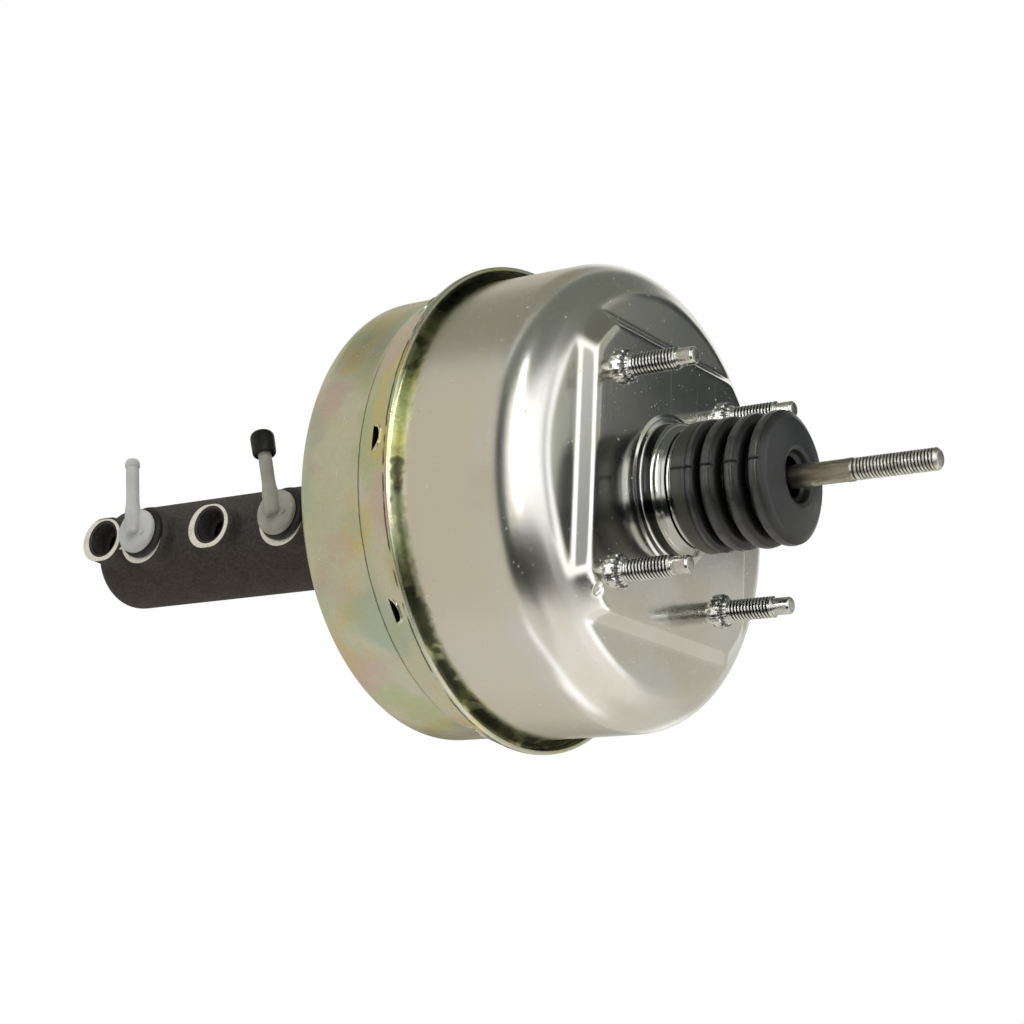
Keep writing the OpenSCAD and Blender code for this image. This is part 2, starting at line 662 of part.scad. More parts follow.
// Push rod: ball, shank with two flats, threaded end.
module push_rod() {
    ball_r = 5;
    flat_x0 = boot_end_x + 8;
    flat_h = rod_r - 0.6;
    color([0.62, 0.60, 0.55])
        difference() {
            union() {
                translate([pivot_x, 0, 0])
                    sphere(r = ball_r, $fn = 48);
                turned([[pivot_x, 0], [pivot_x, 3.6], [seat_x + 6, 3.6], [seat_x + 8, rod_r],
                    [seat_x + 49.2, rod_r], [seat_x + 49.2, rod_r + 1.5], [seat_x + 50.4, rod_r + 1.5],
                    [seat_x + 50.8, rod_r], [rod_thread_x, rod_r],
                    [rod_thread_x + 0.6, rod_thread_r], [rod_tip_x - 1.2, rod_thread_r],
                    [rod_tip_x, rod_thread_r - 1.2], [rod_tip_x, 0]]);
            }
            for (side = [-1, 1])
                translate([flat_x0, -rod_r, side > 0 ? flat_h : -flat_h - 2])
                    cube([rod_thread_x - flat_x0 - 4, 2 * rod_r, 2]);
        }
}

module air_filter() {
    color([0.25, 0.25, 0.22])
        ring(seat_x + 52, seat_x + 55.5, tube_in_r - 0.1, rod_r + 3.2);
}

module air_silencer() {
    color([0.7, 0.68, 0.6])
        ring(seat_x + 55.8, tube_end_x - 0.4, tube_in_r - 0.1, rod_r + 3.2);
}

// Boss along -Y on the barrel, as a slot of the given half length.
module side_boss(x, r, face, half_len) {
    rotate([-mc_roll, 0, 0])
        translate([x, 0, 0])
            rotate([90, 0, 0])
                union() {
                    for (s = [-1, 1])
                        translate([s * half_len, 0, 0])
                            cylinder(h = face, r = r, $fn = 64);
                    if (half_len > 0)
                        translate([-half_len, -r, 0])
                            cube([2 * half_len, 2 * r, face]);
                }
}

// Round cut along -Y from one distance to another.
module side_cut(x, r0, r1, from_d, to_d) {
    rotate([-mc_roll, 0, 0])
        translate([x, -from_d, 0])
            rotate([90, 0, 0])
                cylinder(h = to_d - from_d, r1 = r0, r2 = r1, $fn = 48);
}

grommet_hole_r = 9.4;
port_floor = 23;
seat_floor = 17;
seat_r = 5.8;
inlet_floor = 17;

module mc_body() {
    end_round = 10;
    color([0.25, 0.22, 0.2])
        difference() {
            union() {
                turned(concat([[mc_front_x, 0]], arc(mc_front_x + end_round, mc_r - end_round, end_round, 180, 90),
                    [[face_x - mc_flange_t - 8, mc_r], [face_x - mc_flange_t, mc_r + 3], [face_x, mc_r + 3],
                    [face_x, spigot_r], [spigot_end_x - 3.2, spigot_r], [spigot_end_x - 3.2, spigot_r - 1.6],
                    [spigot_end_x - 1.2, spigot_r - 1.6], [spigot_end_x - 1.2, spigot_r - 0.4],
                    [spigot_end_x, spigot_r - 0.8], [spigot_end_x, 0]]));
                for (y = [-1, 1])
                    translate([face_x - mc_flange_t, 0, 0]) {
                        translate([0, y * mc_stud_pitch / 2, 0])
                            rod(0, mc_flange_t, 11);
                        translate([0, y < 0 ? -mc_stud_pitch / 2 : 0, -11])
                            cube([mc_flange_t, mc_stud_pitch / 2, 22]);
                    }
                side_boss(front_port_x, 11.2, port_face, 1.9);
                side_boss(rear_port_x, 11.2, port_face, 1.9);
                side_boss(front_inlet_x, 14.2, inlet_face, 0);
                side_boss(rear_inlet_x, 14.2, inlet_face, 0);
            }
            rod(bore_end_x, spigot_end_x + 1, mc_bore_r);
            turned([[primary_rear_x + gap, 0], [primary_rear_x + gap, mc_bore_r + 1.2],
                [primary_rear_x + gap + 3.2, mc_bore_r + 1.2], [primary_rear_x + gap + 3.2, 0]]);
            for (x = [front_port_x, rear_port_x]) {
                side_cut(x, port_r, port_r, port_floor, port_face + 1);
                side_cut(x, seat_r, seat_r, seat_floor, port_face);
                side_cut(x, port_r, port_r + 1.7, port_face - 1, port_face + 0.7);
                side_cut(x, 1.8, 1.8, 5, port_face);
            }
            for (x = [front_inlet_x, rear_inlet_x]) {
                side_cut(x, grommet_hole_r, grommet_hole_r, inlet_floor, inlet_face + 1);
                side_cut(x + 4.2, 1.6, 1.6, 5, inlet_face);
                side_cut(x - 5.4, 0.5, 0.5, 5, inlet_face);
            }
            for (y = [-1, 1])
                translate([0, y * mc_stud_pitch / 2, 0])
                    rod(face_x - mc_flange_t - 1, face_x + 1, mc_stud_r + running);
            stop_place()
                cylinder(h = 30, r = 3.1 + running, $fn = 32);
        }
}

// Frame of the stop screw: its axis leaves the barrel downwards, a little to the near side.
module stop_place() {
    translate([face_x - 58, 0, 0])
        rotate([-20, 0, 0])
            rotate([180, 0, 0])
                translate([0, 0, mc_bore_r + 1.5])
                    children();
}

module stop_screw() {
    seat = mc_r - mc_bore_r - 1.5;
    color([0.75, 0.74, 0.7])
        stop_place() {
            cylinder(h = seat + 0.6, r = 3.1, $fn = 32);
            translate([0, 0, seat + 0.4])
                cylinder(h = 1, r = 5, $fn = 32);
            translate([0, 0, seat + 1.4])
                cylinder(h = 4.2, r = 4.4, $fn = 6);
        }
}

module mc_seal_ring() {
    color([0.08, 0.08, 0.08])
        turned([[spigot_end_x - 3.1, spigot_r - 1.55], [spigot_end_x - 1.3, spigot_r - 1.55],
            [spigot_end_x - 1.3, spigot_r + 0.1], [spigot_end_x - 1.8, spigot_r + gap - 0.1],
            [spigot_end_x - 2.6, spigot_r + gap - 0.1], [spigot_end_x - 3.1, spigot_r + 0.1]]);
}

module stop_washer() {
    color([0.6, 0.6, 0.58])
        ring(primary_rear_x + gap, primary_rear_x + gap + 1.4, mc_bore_r + 1.1, 8);
}

module snap_ring() {
    color([0.35, 0.36, 0.38])
        difference() {
            ring(primary_rear_x + gap + 1.6, primary_rear_x + gap + 3, mc_bore_r + 1.1, mc_bore_r - 1.6);
            translate([primary_rear_x, -2.5, 0])
                cube([6, 5, 20]);
        }
}

module primary_piston() {
    r = mc_bore_r - running;
    x0 = primary_cup_x;
    color([0.7, 0.7, 0.66])
        difference() {
            turned([[x0 - 8, 0], [x0 - 8, 5.4], [x0 - 7.4, 6.4], [x0 - 6.2, 6.4], [x0, 6.4], [x0, r],
                [x0 + 3, r], [x0 + 3.6, r - 1.6], [primary_rear_x - 20, r - 1.6], [primary_rear_x - 19.4, r],
                [primary_rear_x - 14, r], [primary_rear_x - 14, r - 3.2], [primary_rear_x - 9, r - 3.2],
                [primary_rear_x - 9, r], [primary_rear_x - 0.6, r], [primary_rear_x, r - 0.6], [primary_rear_x, 0]]);
            turned([[primary_rear_x - 12, 0], [primary_rear_x - 12, 3], [primary_rear_x - 10, 5.4],
                [primary_rear_x + 1, 5.4], [primary_rear_x + 1, 0]]);
        }
}

// Cup seal that opens forward, from x back to x + 6.
module cup(x, r_in) {
    r = mc_bore_r - running;
    turned([[x + 6, r_in + running], [x + 6, r - 0.4], [x + 5.4, r - 0.2], [x + 1, r - 0.05], [x, r - 0.3],
        [x, r - 1.4], [x + 3.2, r - 2.4], [x + 3.2, r_in + 1.6], [x + 0.8, r_in + 1.2], [x + 0.8, r_in + running]]);
}

module primary_cups() {
    r = mc_bore_r - running;
    color([0.1, 0.1, 0.1]) {
        cup(primary_cup_x - 6, 6.4);
        turned([[primary_rear_x - 13.9, r - 3.15], [primary_rear_x - 9.1, r - 3.15], [primary_rear_x - 9.1, r - 0.3],
            [primary_rear_x - 10.2, r - 0.1], [primary_rear_x - 12.8, r - 0.1], [primary_rear_x - 13.9, r - 0.3]]);
    }
}

module secondary_piston() {
    r = mc_bore_r - running;
    x0 = secondary_cup_x;
    x1 = secondary_rear_x;
    color([0.7, 0.7, 0.66])
        turned([[x0 - 8, 0], [x0 - 8, 5.4], [x0 - 7.4, 6.4], [x0, 6.4], [x0, r], [x0 + 2.6, r],
            [x0 + 3.2, r - 1.6], [x1 - 13.6, r - 1.6], [x1 - 13, r], [x1 - 10.6, r], [x1 - 10.6, 6.4],
            [x1, 6.4], [x1, 0]]);
}

module secondary_cups() {
    color([0.1, 0.1, 0.1]) {
        cup(secondary_cup_x - 6, 6.4);
        mirror([1, 0, 0])
            cup(-secondary_rear_x + 4.4, 6.4);
    }
}

module primary_spring() {
    color([0.5, 0.52, 0.55])
        coil(secondary_rear_x + 0.3, primary_cup_x - 6.3, 9.1, 9.1, 0.9, 7, 16, 8);
}

module secondary_spring() {
    color([0.5, 0.52, 0.55])
        coil(bore_end_x + 0.2, secondary_cup_x - 6.3, 9.1, 9.1, 0.9, 5, 16, 8);
}

// Flared seats at the bottom of the outlet ports.
module tube_seats() {
    color([0.75, 0.6, 0.3])
        for (x = [front_port_x, rear_port_x])
            rotate([-mc_roll, 0, 0])
                translate([x, -seat_floor, 0])
                    rotate([90, 0, 0])
                        difference() {
                            union() {
                                cylinder(h = 2.4, r = seat_r - running, $fn = 48);
                                translate([0, 0, 2.4])
                                    cylinder(h = 3.4, r1 = 4.6, r2 = 2.2, $fn = 48);
                            }
                            translate([0, 0, -1])
                                cylinder(h = 8, r = 1.6, $fn = 24);
                        }
}

module inlet_grommets() {
    deep = inlet_face - inlet_floor - 2;
    color([0.07, 0.07, 0.07])
        for (x = [front_inlet_x, rear_inlet_x])
            rotate([-mc_roll, 0, 0])
                translate([x, -inlet_face, 0])
                    rotate([90, 0, 0])
                        rotate_extrude($fn = 64)
                            polygon([[elbow_hole_r + running, -deep], [grommet_hole_r - 0.9, -deep],
                                [grommet_hole_r - running, -deep + 1.5], [grommet_hole_r - running, 0],
                                [grommet_r - 0.3, 0], [grommet_r, 0.8], [grommet_r, grommet_t - 1],
                                [grommet_r - 1, grommet_t], [elbow_hole_r + running, grommet_t]]);
}

// Frame of an inlet elbow: Z leaves the barrel, Y points up along the nipple.
module elbow_place(x, lean) {
    rotate([-mc_roll, 0, 0])
        translate([x, -inlet_face - grommet_t, 0])
            rotate([0, lean, 0])
                rotate([90, 0, 0])
                    children();
}

nipple_out = 4.1;

// Elbow: stem in the grommet, flat head, upright hose nipple with a bead at its tip.
module elbow() {
    difference() {
        union() {
            translate([0, 0, -inlet_face + inlet_floor + 1])
                cylinder(h = inlet_face - inlet_floor - 1 + 0.2, r = elbow_hole_r, $fn = 48);
            translate([0, 0, 0.2])
                rotate_extrude($fn = 64)
                    polygon([[0, 0], [head_r - 0.4, 0], [head_r, 0.4], [head_r, head_t - 1.4],
                        [head_r - 1.6, head_t - 0.3], [head_r - 5, head_t], [0, head_t + 0.2]]);
            translate([0, 0, nipple_out])
                rotate([-90, 0, 0])
                    rotate_extrude($fn = 48)
                        polygon([[0, -3], [nipple_base_r, -3], [nipple_base_r, 9], [nipple_r, 14],
                            [nipple_r, nipple_top - 5], [nipple_bead_r, nipple_top - 4.4],
                            [nipple_bead_r, nipple_top - 2.8], [nipple_r - 0.2, nipple_top], [0, nipple_top]]);
        }
        translate([0, 0, nipple_out])
            rotate([-90, 0, 0])
                cylinder(h = nipple_top + 1, r = 1.9, $fn = 32);
        translate([0, 0, -inlet_face])
            cylinder(h = inlet_face + nipple_out, r = 2.6, $fn = 32);
    }
}

module front_elbow() {
    color([0.72, 0.74, 0.74, 0.9])
        elbow_place(front_inlet_x, front_lean)
            elbow();
}

module rear_elbow() {
    color([0.66, 0.67, 0.64, 0.9])
        elbow_place(rear_inlet_x, rear_lean)
            elbow();
}

// Rubber cap that closes the rear nipple.
module nipple_cap() {
    mouth = nipple_top + 1.6 - cap_len;
    color([0.05, 0.05, 0.05])
        elbow_place(rear_inlet_x, rear_lean)
            translate([0, 0, nipple_out])
                rotate([-90, 0, 0])
                    rotate_extrude($fn = 48)
                        polygon([[nipple_bead_r + running, mouth], [cap_r - 0.9, mouth], [cap_r - 0.1, mouth + 0.9],
                            [cap_r, mouth + 6], [cap_r, nipple_top - 0.2], [cap_r - 1.5, nipple_top + 1.6],
                            [0, nipple_top + 1.6], [0, nipple_top + 0.1], [nipple_bead_r + running, nipple_top + 0.1]]);
}

check_stem_r = 6.5;
check_len = 20;

// Rubber grommet that seals the check valve in the front shell.
module check_grommet() {
    x = face_x;
    r_out = check_hole_r + 3;
    color([0.08, 0.08, 0.08])
        translate([0, check_y, check_z])
            turned([[x - 3, check_stem_r + running], [x - 3, r_out - 1], [x - 2.2, r_out], [x - 0.1, r_out],
                [x - 0.1, check_hole_r - 0.1], [inner_face_x + 2.6, check_hole_r - 0.1],
                [inner_face_x + 3.6, check_hole_r + 0.8], [inner_face_x + 6, check_hole_r - 1],
                [inner_face_x + 6, check_stem_r + running]], 64);
}

// Vacuum check valve: stem in the grommet, round chamber, hose nipple turned outwards.
module check_valve() {
    x = face_x - 3;
    color([0.1, 0.1, 0.11])
        translate([0, check_y, check_z])
            difference() {
                union() {
                    turned([[x - check_len, 0], [x - check_len, 8], [x - check_len + 2, 10], [x - 9, 10],
                        [x - 9, 13], [x - 6, 13], [x - 6, 11], [x, 11], [x, check_stem_r],
                        [x + 13, check_stem_r], [x + 14, check_stem_r - 1], [x + 14, 0]], 64);
                    translate([x - check_len + 8, 0, 0])
                        rotate([-50, 0, 0])
                            rotate_extrude($fn = 48)
                                polygon([[0, 0], [5.5, 0], [5.5, 14], [4.6, 15], [4.6, 26.4], [5.1, 27], [5.1, 28.6],
                                    [4.4, 31],
                                    [0, 31]]);
                }
                rod(x - check_len + 5, x + 15, 4, 48);
                translate([x - check_len + 8, 0, 0])
                    rotate([-50, 0, 0])
                        cylinder(h = 32, r = 2.8, $fn = 32);
            }
}

front_shell();
rear_shell();
front_plate();
mc_studs();
mc_nuts();
firewall_studs();
rear_seal();
seal_retainer();
boot();
diaphragm();
diaphragm_plate();
valve_body();
valve_key();
reaction_disc();
output_rod();
adjuster_screw();
output_retainer();
return_spring();
plunger();
poppet();
poppet_retainer();
poppet_spring();
rod_spring();
push_rod();
spring_seat();
air_filter();
air_silencer();
mc_body();
mc_seal_ring();
stop_washer();
snap_ring();
primary_piston();
primary_cups();
secondary_piston();
secondary_cups();
primary_spring();
secondary_spring();
stop_screw();
tube_seats();
inlet_grommets();
front_elbow();
rear_elbow();
nipple_cap();
check_valve();
check_grommet();
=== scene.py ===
import math

import bmesh
import bpy
from mathutils import Matrix, Vector


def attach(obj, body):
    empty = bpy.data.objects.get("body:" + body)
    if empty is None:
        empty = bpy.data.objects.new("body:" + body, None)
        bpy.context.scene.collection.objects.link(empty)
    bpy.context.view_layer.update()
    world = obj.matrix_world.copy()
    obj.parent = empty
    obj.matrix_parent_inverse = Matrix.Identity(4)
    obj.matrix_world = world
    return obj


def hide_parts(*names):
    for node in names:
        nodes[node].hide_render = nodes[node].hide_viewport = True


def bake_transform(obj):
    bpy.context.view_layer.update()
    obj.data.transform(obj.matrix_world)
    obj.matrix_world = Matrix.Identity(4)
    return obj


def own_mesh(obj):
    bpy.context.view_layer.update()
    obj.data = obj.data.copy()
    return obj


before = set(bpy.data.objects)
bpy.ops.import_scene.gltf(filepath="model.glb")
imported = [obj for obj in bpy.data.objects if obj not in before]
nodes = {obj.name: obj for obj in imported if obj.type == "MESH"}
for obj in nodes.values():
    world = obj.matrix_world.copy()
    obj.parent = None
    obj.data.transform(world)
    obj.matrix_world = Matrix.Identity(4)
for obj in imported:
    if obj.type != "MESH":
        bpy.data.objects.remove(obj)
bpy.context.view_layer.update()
scene = bpy.context.scene

# All shapes below are worked in millimetres and scaled to metres when a piece is made.
# X runs from the master cylinder to the pedal, and the face of the rear drum's pad is at 0.
METRE = 1000.0
MM = 0.001
FULL = 2 * math.pi
SHEET = 1.8

# Rear drum: wall, round corner, sloping shoulder, height of the pad's folds, and the dimple in the pad.
SHELL_R = 102.5
CORNER_BEND = 19.5
CORNER_R = SHELL_R - CORNER_BEND
CORNER_X = -26.04
SHOULDER_SLOPE = math.radians(30)
SHOULDER_R = 76.9
SHOULDER_BEND = 8.0
LEDGE = 5.5
DIMPLE_Y = -56.0
DIMPLE_Z = -54.0

# Front drum, and its collar that flares from a crease to an open rim round the rear drum.
FRONT_FACE_X = -125.0
FRONT_R = 100.2
CREASE_X = -92.0
CREASE_R = 101.6
FLARE_END_X = -74.0
COLLAR_R = 109.0
LANCE_X = -83.4
LANCE_ANGLES = [-4 + 40 * i for i in range(9)]

# Places of the studs, the check valve, and the turn of the master cylinder's ports round its barrel.
STUD_Y = 43.0
STUD_Z = 44.0
FLANGE_STUD_Y = 43.0
CHECK_VALVE_Y = 42.0
CHECK_VALVE_Z = 50.0
BARREL_ROLL = math.radians(-4.2)

# Threads: outside radius of all studs and of the rod's end, and the pitches.
THREAD_R = 4.76
STUD_PITCH = 1.5875
ROD_PITCH = 1.5
PORT_PITCH = 1.27


# Shaping helpers

def arc(cx, cr, rad, start, stop, steps=6):
    """Arc in a turned outline, in degrees: 0 points along +X, 90 points outwards."""
    points = []
    for i in range(steps + 1):
        a = math.radians(start + (stop - start) * i / steps)
        points.append((cx + rad * math.cos(a), cr + rad * math.sin(a)))
    return points


def shaped(corners, closed=True, steps=4):
    """Outline of (x, r) corners, where a third number rounds that corner."""
    outline = []
    count = len(corners)
    for i, corner in enumerate(corners):
        at = Vector(corner[:2])
        soft = corner[2] if len(corner) > 2 else 0
        end = not closed and i in (0, count - 1)
        if soft == 0 or end:
            outline.append((at.x, at.y))
            continue
        back = Vector(corners[i - 1][:2]) - at
        on = Vector(corners[(i + 1) % count][:2]) - at
        reach = min(soft, back.length * 0.48, on.length * 0.48)
        first = at + back.normalized() * reach
        last = at + on.normalized() * reach
        for k in range(steps + 1):
            t = k / steps
            p = first * (1 - t) ** 2 + at * 2 * t * (1 - t) + last * t * t
            outline.append((p.x, p.y))
    return outline


def rows(x0, x1, r, spacing):
    """Evenly spaced rings of one radius, for a surface that is worked afterwards."""
    count = max(1, round(abs(x1 - x0) / spacing))
    return [(x0 + (x1 - x0) * i / count, r) for i in range(count + 1)]


def turned(outline, steps=96, closed=True):
    """Solid of revolution about X."""
    bm = bmesh.new()
    points = [bm.verts.new((x, 0, r)) for x, r in outline]
    edges = [bm.edges.new(pair) for pair in zip(points, points[1:])]
    if closed:
        edges.append(bm.edges.new((points[-1], points[0])))
    bmesh.ops.spin(bm, geom=points + edges, cent=(0, 0, 0), axis=(1, 0, 0), angle=FULL,
                   steps=steps, use_merge=True)
    bmesh.ops.remove_doubles(bm, verts=bm.verts, dist=1e-4)
    loose = [e for e in bm.edges if not e.link_faces]
    bmesh.ops.delete(bm, geom=loose, context="EDGES")
    bmesh.ops.recalc_face_normals(bm, faces=bm.faces)
    return bm


def ease(value):
    """Soft step from 0 to 1."""
    t = min(1.0, max(0.0, value))
    return t * t * (3 - 2 * t)


def turn_between(a, b):
    """Angle between two directions, in degrees."""
    return abs((a - b + 180) % 360 - 180)


def off_axis(v):
    return math.hypot(v.co.y, v.co.z)


def around(v):
    return math.atan2(v.co.z, v.co.y)


def widen(v, factor):
    """Moves a vertex away from the X axis, or towards it."""
    v.co.y *= factor
    v.co.z *= factor


def screw_cut(bm, x0, x1, r, pitch, depth, run_out=1.2):
    """Cuts a rolled thread into the rings between x0 and x1."""
    for v in bm.verts:
        here = off_axis(v)
        if v.co.x < x0 or v.co.x > x1 or abs(here - r) > 0.02:
            continue
        phase = (v.co.x / pitch - around(v) / FULL) % 1.0
        crest = min(1.0, max(0.0, 1.45 * (1 - abs(2 * phase - 1)) - 0.12))
        fade = min(1.0, (v.co.x - x0) / run_out, (x1 - v.co.x) / run_out)
        widen(v, (r - depth * (1 - crest) * max(0.0, fade)) / here)


def plane_hexagon(bm, half):
    """Planes six flats on a turned head, each at half the distance across."""
    for v in bm.verts:
        r = off_axis(v)
        flat = half / math.cos(around(v) % (FULL / 6) - FULL / 12)
        if r > flat:
            widen(v, flat / r)


def bar(radius, depth, segments):
    """Round bar about Z."""
    bm = bmesh.new()
    bmesh.ops.create_cone(bm, cap_ends=True, segments=segments, radius1=radius, radius2=radius, depth=depth)
    return bm


def mesh_of(name, bm):
    mesh = bpy.data.meshes.new(name)
    bm.to_mesh(mesh)
    bm.free()
    return mesh


def gathered(parts):
    """One bmesh from several."""
    whole = bmesh.new()
    for part in parts:
        carrier = mesh_of("carrier", part)
        whole.from_mesh(carrier)
        bpy.data.meshes.remove(carrier)
    return whole


def placed(bm, matrix):
    bmesh.ops.transform(bm, matrix=matrix, verts=bm.verts)
    return bm


def shift(x, y, z):
    return Matrix.Translation((x, y, z))


def roll(degrees, axis):
    return Matrix.Rotation(math.radians(degrees), 4, axis)


# Turned shapes are made along X; this stands one up along Z.
UPRIGHT = Matrix.Rotation(-math.pi / 2, 4, "Y")


def linked(name, data):
    """New object in the scene."""
    obj = bpy.data.objects.new(name, data)
    scene.collection.objects.link(obj)
    return obj


def solid(name, bm):
    """Object in metres, not yet part of the model."""
    bmesh.ops.scale(bm, vec=(MM, MM, MM), verts=bm.verts)
    return linked(name, mesh_of(name, bm))


def settle(obj):
    """Applies the modifiers of an object to its mesh."""
    graph = bpy.context.evaluated_depsgraph_get()
    done = bpy.data.meshes.new_from_object(obj.evaluated_get(graph))
    before = obj.data
    obj.modifiers.clear()
    obj.data = done
    bpy.data.meshes.remove(before)


def carve(obj, bm):
    """Cuts a shape out of an object."""
    tool = solid("tool", bm)
    cut = obj.modifiers.new("cut", "BOOLEAN")
    cut.object = tool
    cut.operation = "DIFFERENCE"
    cut.solver = "EXACT"
    settle(obj)
    bpy.data.objects.remove(tool)


def finished(obj, finish, body, stands_for=None, sharp=32.0):
    """Shades a piece, gives it its finish and hangs it on its body."""
    mesh = obj.data
    for face in mesh.polygons:
        face.use_smooth = True
    mesh.set_sharp_from_angle(angle=math.radians(sharp))
    mesh.materials.clear()
    mesh.materials.append(finish)
    if body:
        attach(obj, body)
    if stands_for:
        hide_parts(stands_for)


# Finishes

def linear(value):
    c = value / 255.0
    return c / 12.92 if c <= 0.04045 else ((c + 0.055) / 1.055) ** 2.4


def paint(r, g, b):
    """Colour as it looks on a screen, given in 0 to 255."""
    return (linear(r), linear(g), linear(b), 1.0)


class Finish:
    """A Principled material with helpers for its grain, wear and relief."""

    def __init__(self, name, colour, metallic=0.0, roughness=0.5):
        self.material = bpy.data.materials.new(name)
        self.material.use_nodes = True
        self.tree = self.material.node_tree
        self.shader = self.tree.nodes["Principled BSDF"]
        self.shader.inputs["Base Color"].default_value = colour
        self.shader.inputs["Metallic"].default_value = metallic
        self.shader.inputs["Roughness"].default_value = roughness
        self.coords = self.tree.nodes.new("ShaderNodeTexCoord").outputs["Object"]
        self.relief = None

    def node(self, kind, **settings):
        made = self.tree.nodes.new(kind)
        for key, value in settings.items():
            setattr(made, key, value)
        return made

    def feed(self, source, socket):
        if isinstance(source, (int, float, tuple)):
            socket.default_value = source
        else:
            self.tree.links.new(source, socket)

    def mapped(self, scale=(1, 1, 1), centre=(0, 0, 0), turn=(0, 0, 0)):
        made = self.node("ShaderNodeMapping")
        made.inputs["Location"].default_value = centre
        made.inputs["Rotation"].default_value = turn
        made.inputs["Scale"].default_value = scale
        self.feed(self.coords, made.inputs["Vector"])
        return made.outputs["Vector"]

    def noise(self, size_mm, detail=4.0, rough=0.55, where=None):
        made = self.node("ShaderNodeTexNoise")
        made.inputs["Scale"].default_value = METRE / size_mm
        made.inputs["Detail"].default_value = detail
        made.inputs["Roughness"].default_value = rough
        self.feed(where or self.coords, made.inputs["Vector"])
        return made.outputs["Fac"]

    def specks(self, size_mm):
        made = self.node("ShaderNodeTexVoronoi")
        made.inputs["Scale"].default_value = METRE / size_mm
        self.feed(self.coords, made.inputs["Vector"])
        return made.outputs["Distance"]

    def span(self, value, low, high, to_low=0.0, to_high=1.0):
        """Goes softly from to_low to to_high while the value goes from low to high."""
        made = self.node("ShaderNodeMapRange", interpolation_type="SMOOTHSTEP")
        self.feed(value, made.inputs["Value"])
        made.inputs["From Min"].default_value = low
        made.inputs["From Max"].default_value = high
        made.inputs["To Min"].default_value = to_low
        made.inputs["To Max"].default_value = to_high
        return made.outputs["Result"]

    def past(self, place, start_mm, end_mm, to_low=0.0, to_high=1.0):
        """The same for a place or a distance, with its limits in millimetres."""
        return self.span(place, start_mm * MM, end_mm * MM, to_low, to_high)

    def between(self, place, rise_mm, fall_mm):
        """1 between two places and 0 outside, each edge given as (0 here, 1 here)."""
        return self.times(self.past(place, *rise_mm), self.past(place, *fall_mm))

    def worked(self, kind, a, b):
        made = self.node("ShaderNodeMath", operation=kind)
        self.feed(a, made.inputs[0])
        self.feed(b, made.inputs[1])
        return made.outputs[0]

    def plus(self, a, b):
        return self.worked("ADD", a, b)

    def times(self, a, b):
        return self.worked("MULTIPLY", a, b)

    def larger(self, a, b):
        return self.worked("MAXIMUM", a, b)

    def swing(self, source, amount):
        """A noise made to vary about 0, by half the amount each way at most."""
        return self.times(self.worked("SUBTRACT", source, 0.5), amount)

    def blend(self, amount, first, second):
        made = self.node("ShaderNodeMix", data_type="RGBA", blend_type="MIX")
        self.feed(amount, made.inputs[0])
        self.feed(first, made.inputs[6])
        self.feed(second, made.inputs[7])
        return made.outputs[2]

    def axes(self):
        made = self.node("ShaderNodeSeparateXYZ")
        self.feed(self.coords, made.inputs[0])
        return made.outputs

    def vector(self, kind, a, b=(0.0, 0.0, 0.0)):
        made = self.node("ShaderNodeVectorMath", operation=kind)
        self.feed(a, made.inputs[0])
        self.feed(b, made.inputs[1])
        return made.outputs[0]

    def length(self, a):
        made = self.node("ShaderNodeVectorMath", operation="LENGTH")
        self.feed(a, made.inputs[0])
        return made.outputs["Value"]

    def from_axis(self):
        """Distance from the X axis."""
        return self.length(self.mapped(scale=(0, 1, 1)))

    def coloured(self, source):
        self.feed(source, self.shader.inputs["Base Color"])

    def roughened(self, source):
        self.feed(source, self.shader.inputs["Roughness"])

    def raised(self, height, depth_mm, strength=1.0):
        """Adds a fine relief on top of those already there."""
        made = self.node("ShaderNodeBump")
        made.inputs["Strength"].default_value = strength
        made.inputs["Distance"].default_value = depth_mm * MM
        self.feed(height, made.inputs["Height"])
        if self.relief is not None:
            self.feed(self.relief, made.inputs["Normal"])
        self.relief = made.outputs["Normal"]
        self.feed(self.relief, self.shader.inputs["Normal"])

    def set(self, **values):
        for key, value in values.items():
            self.shader.inputs[key.replace("_", " ")].default_value = value


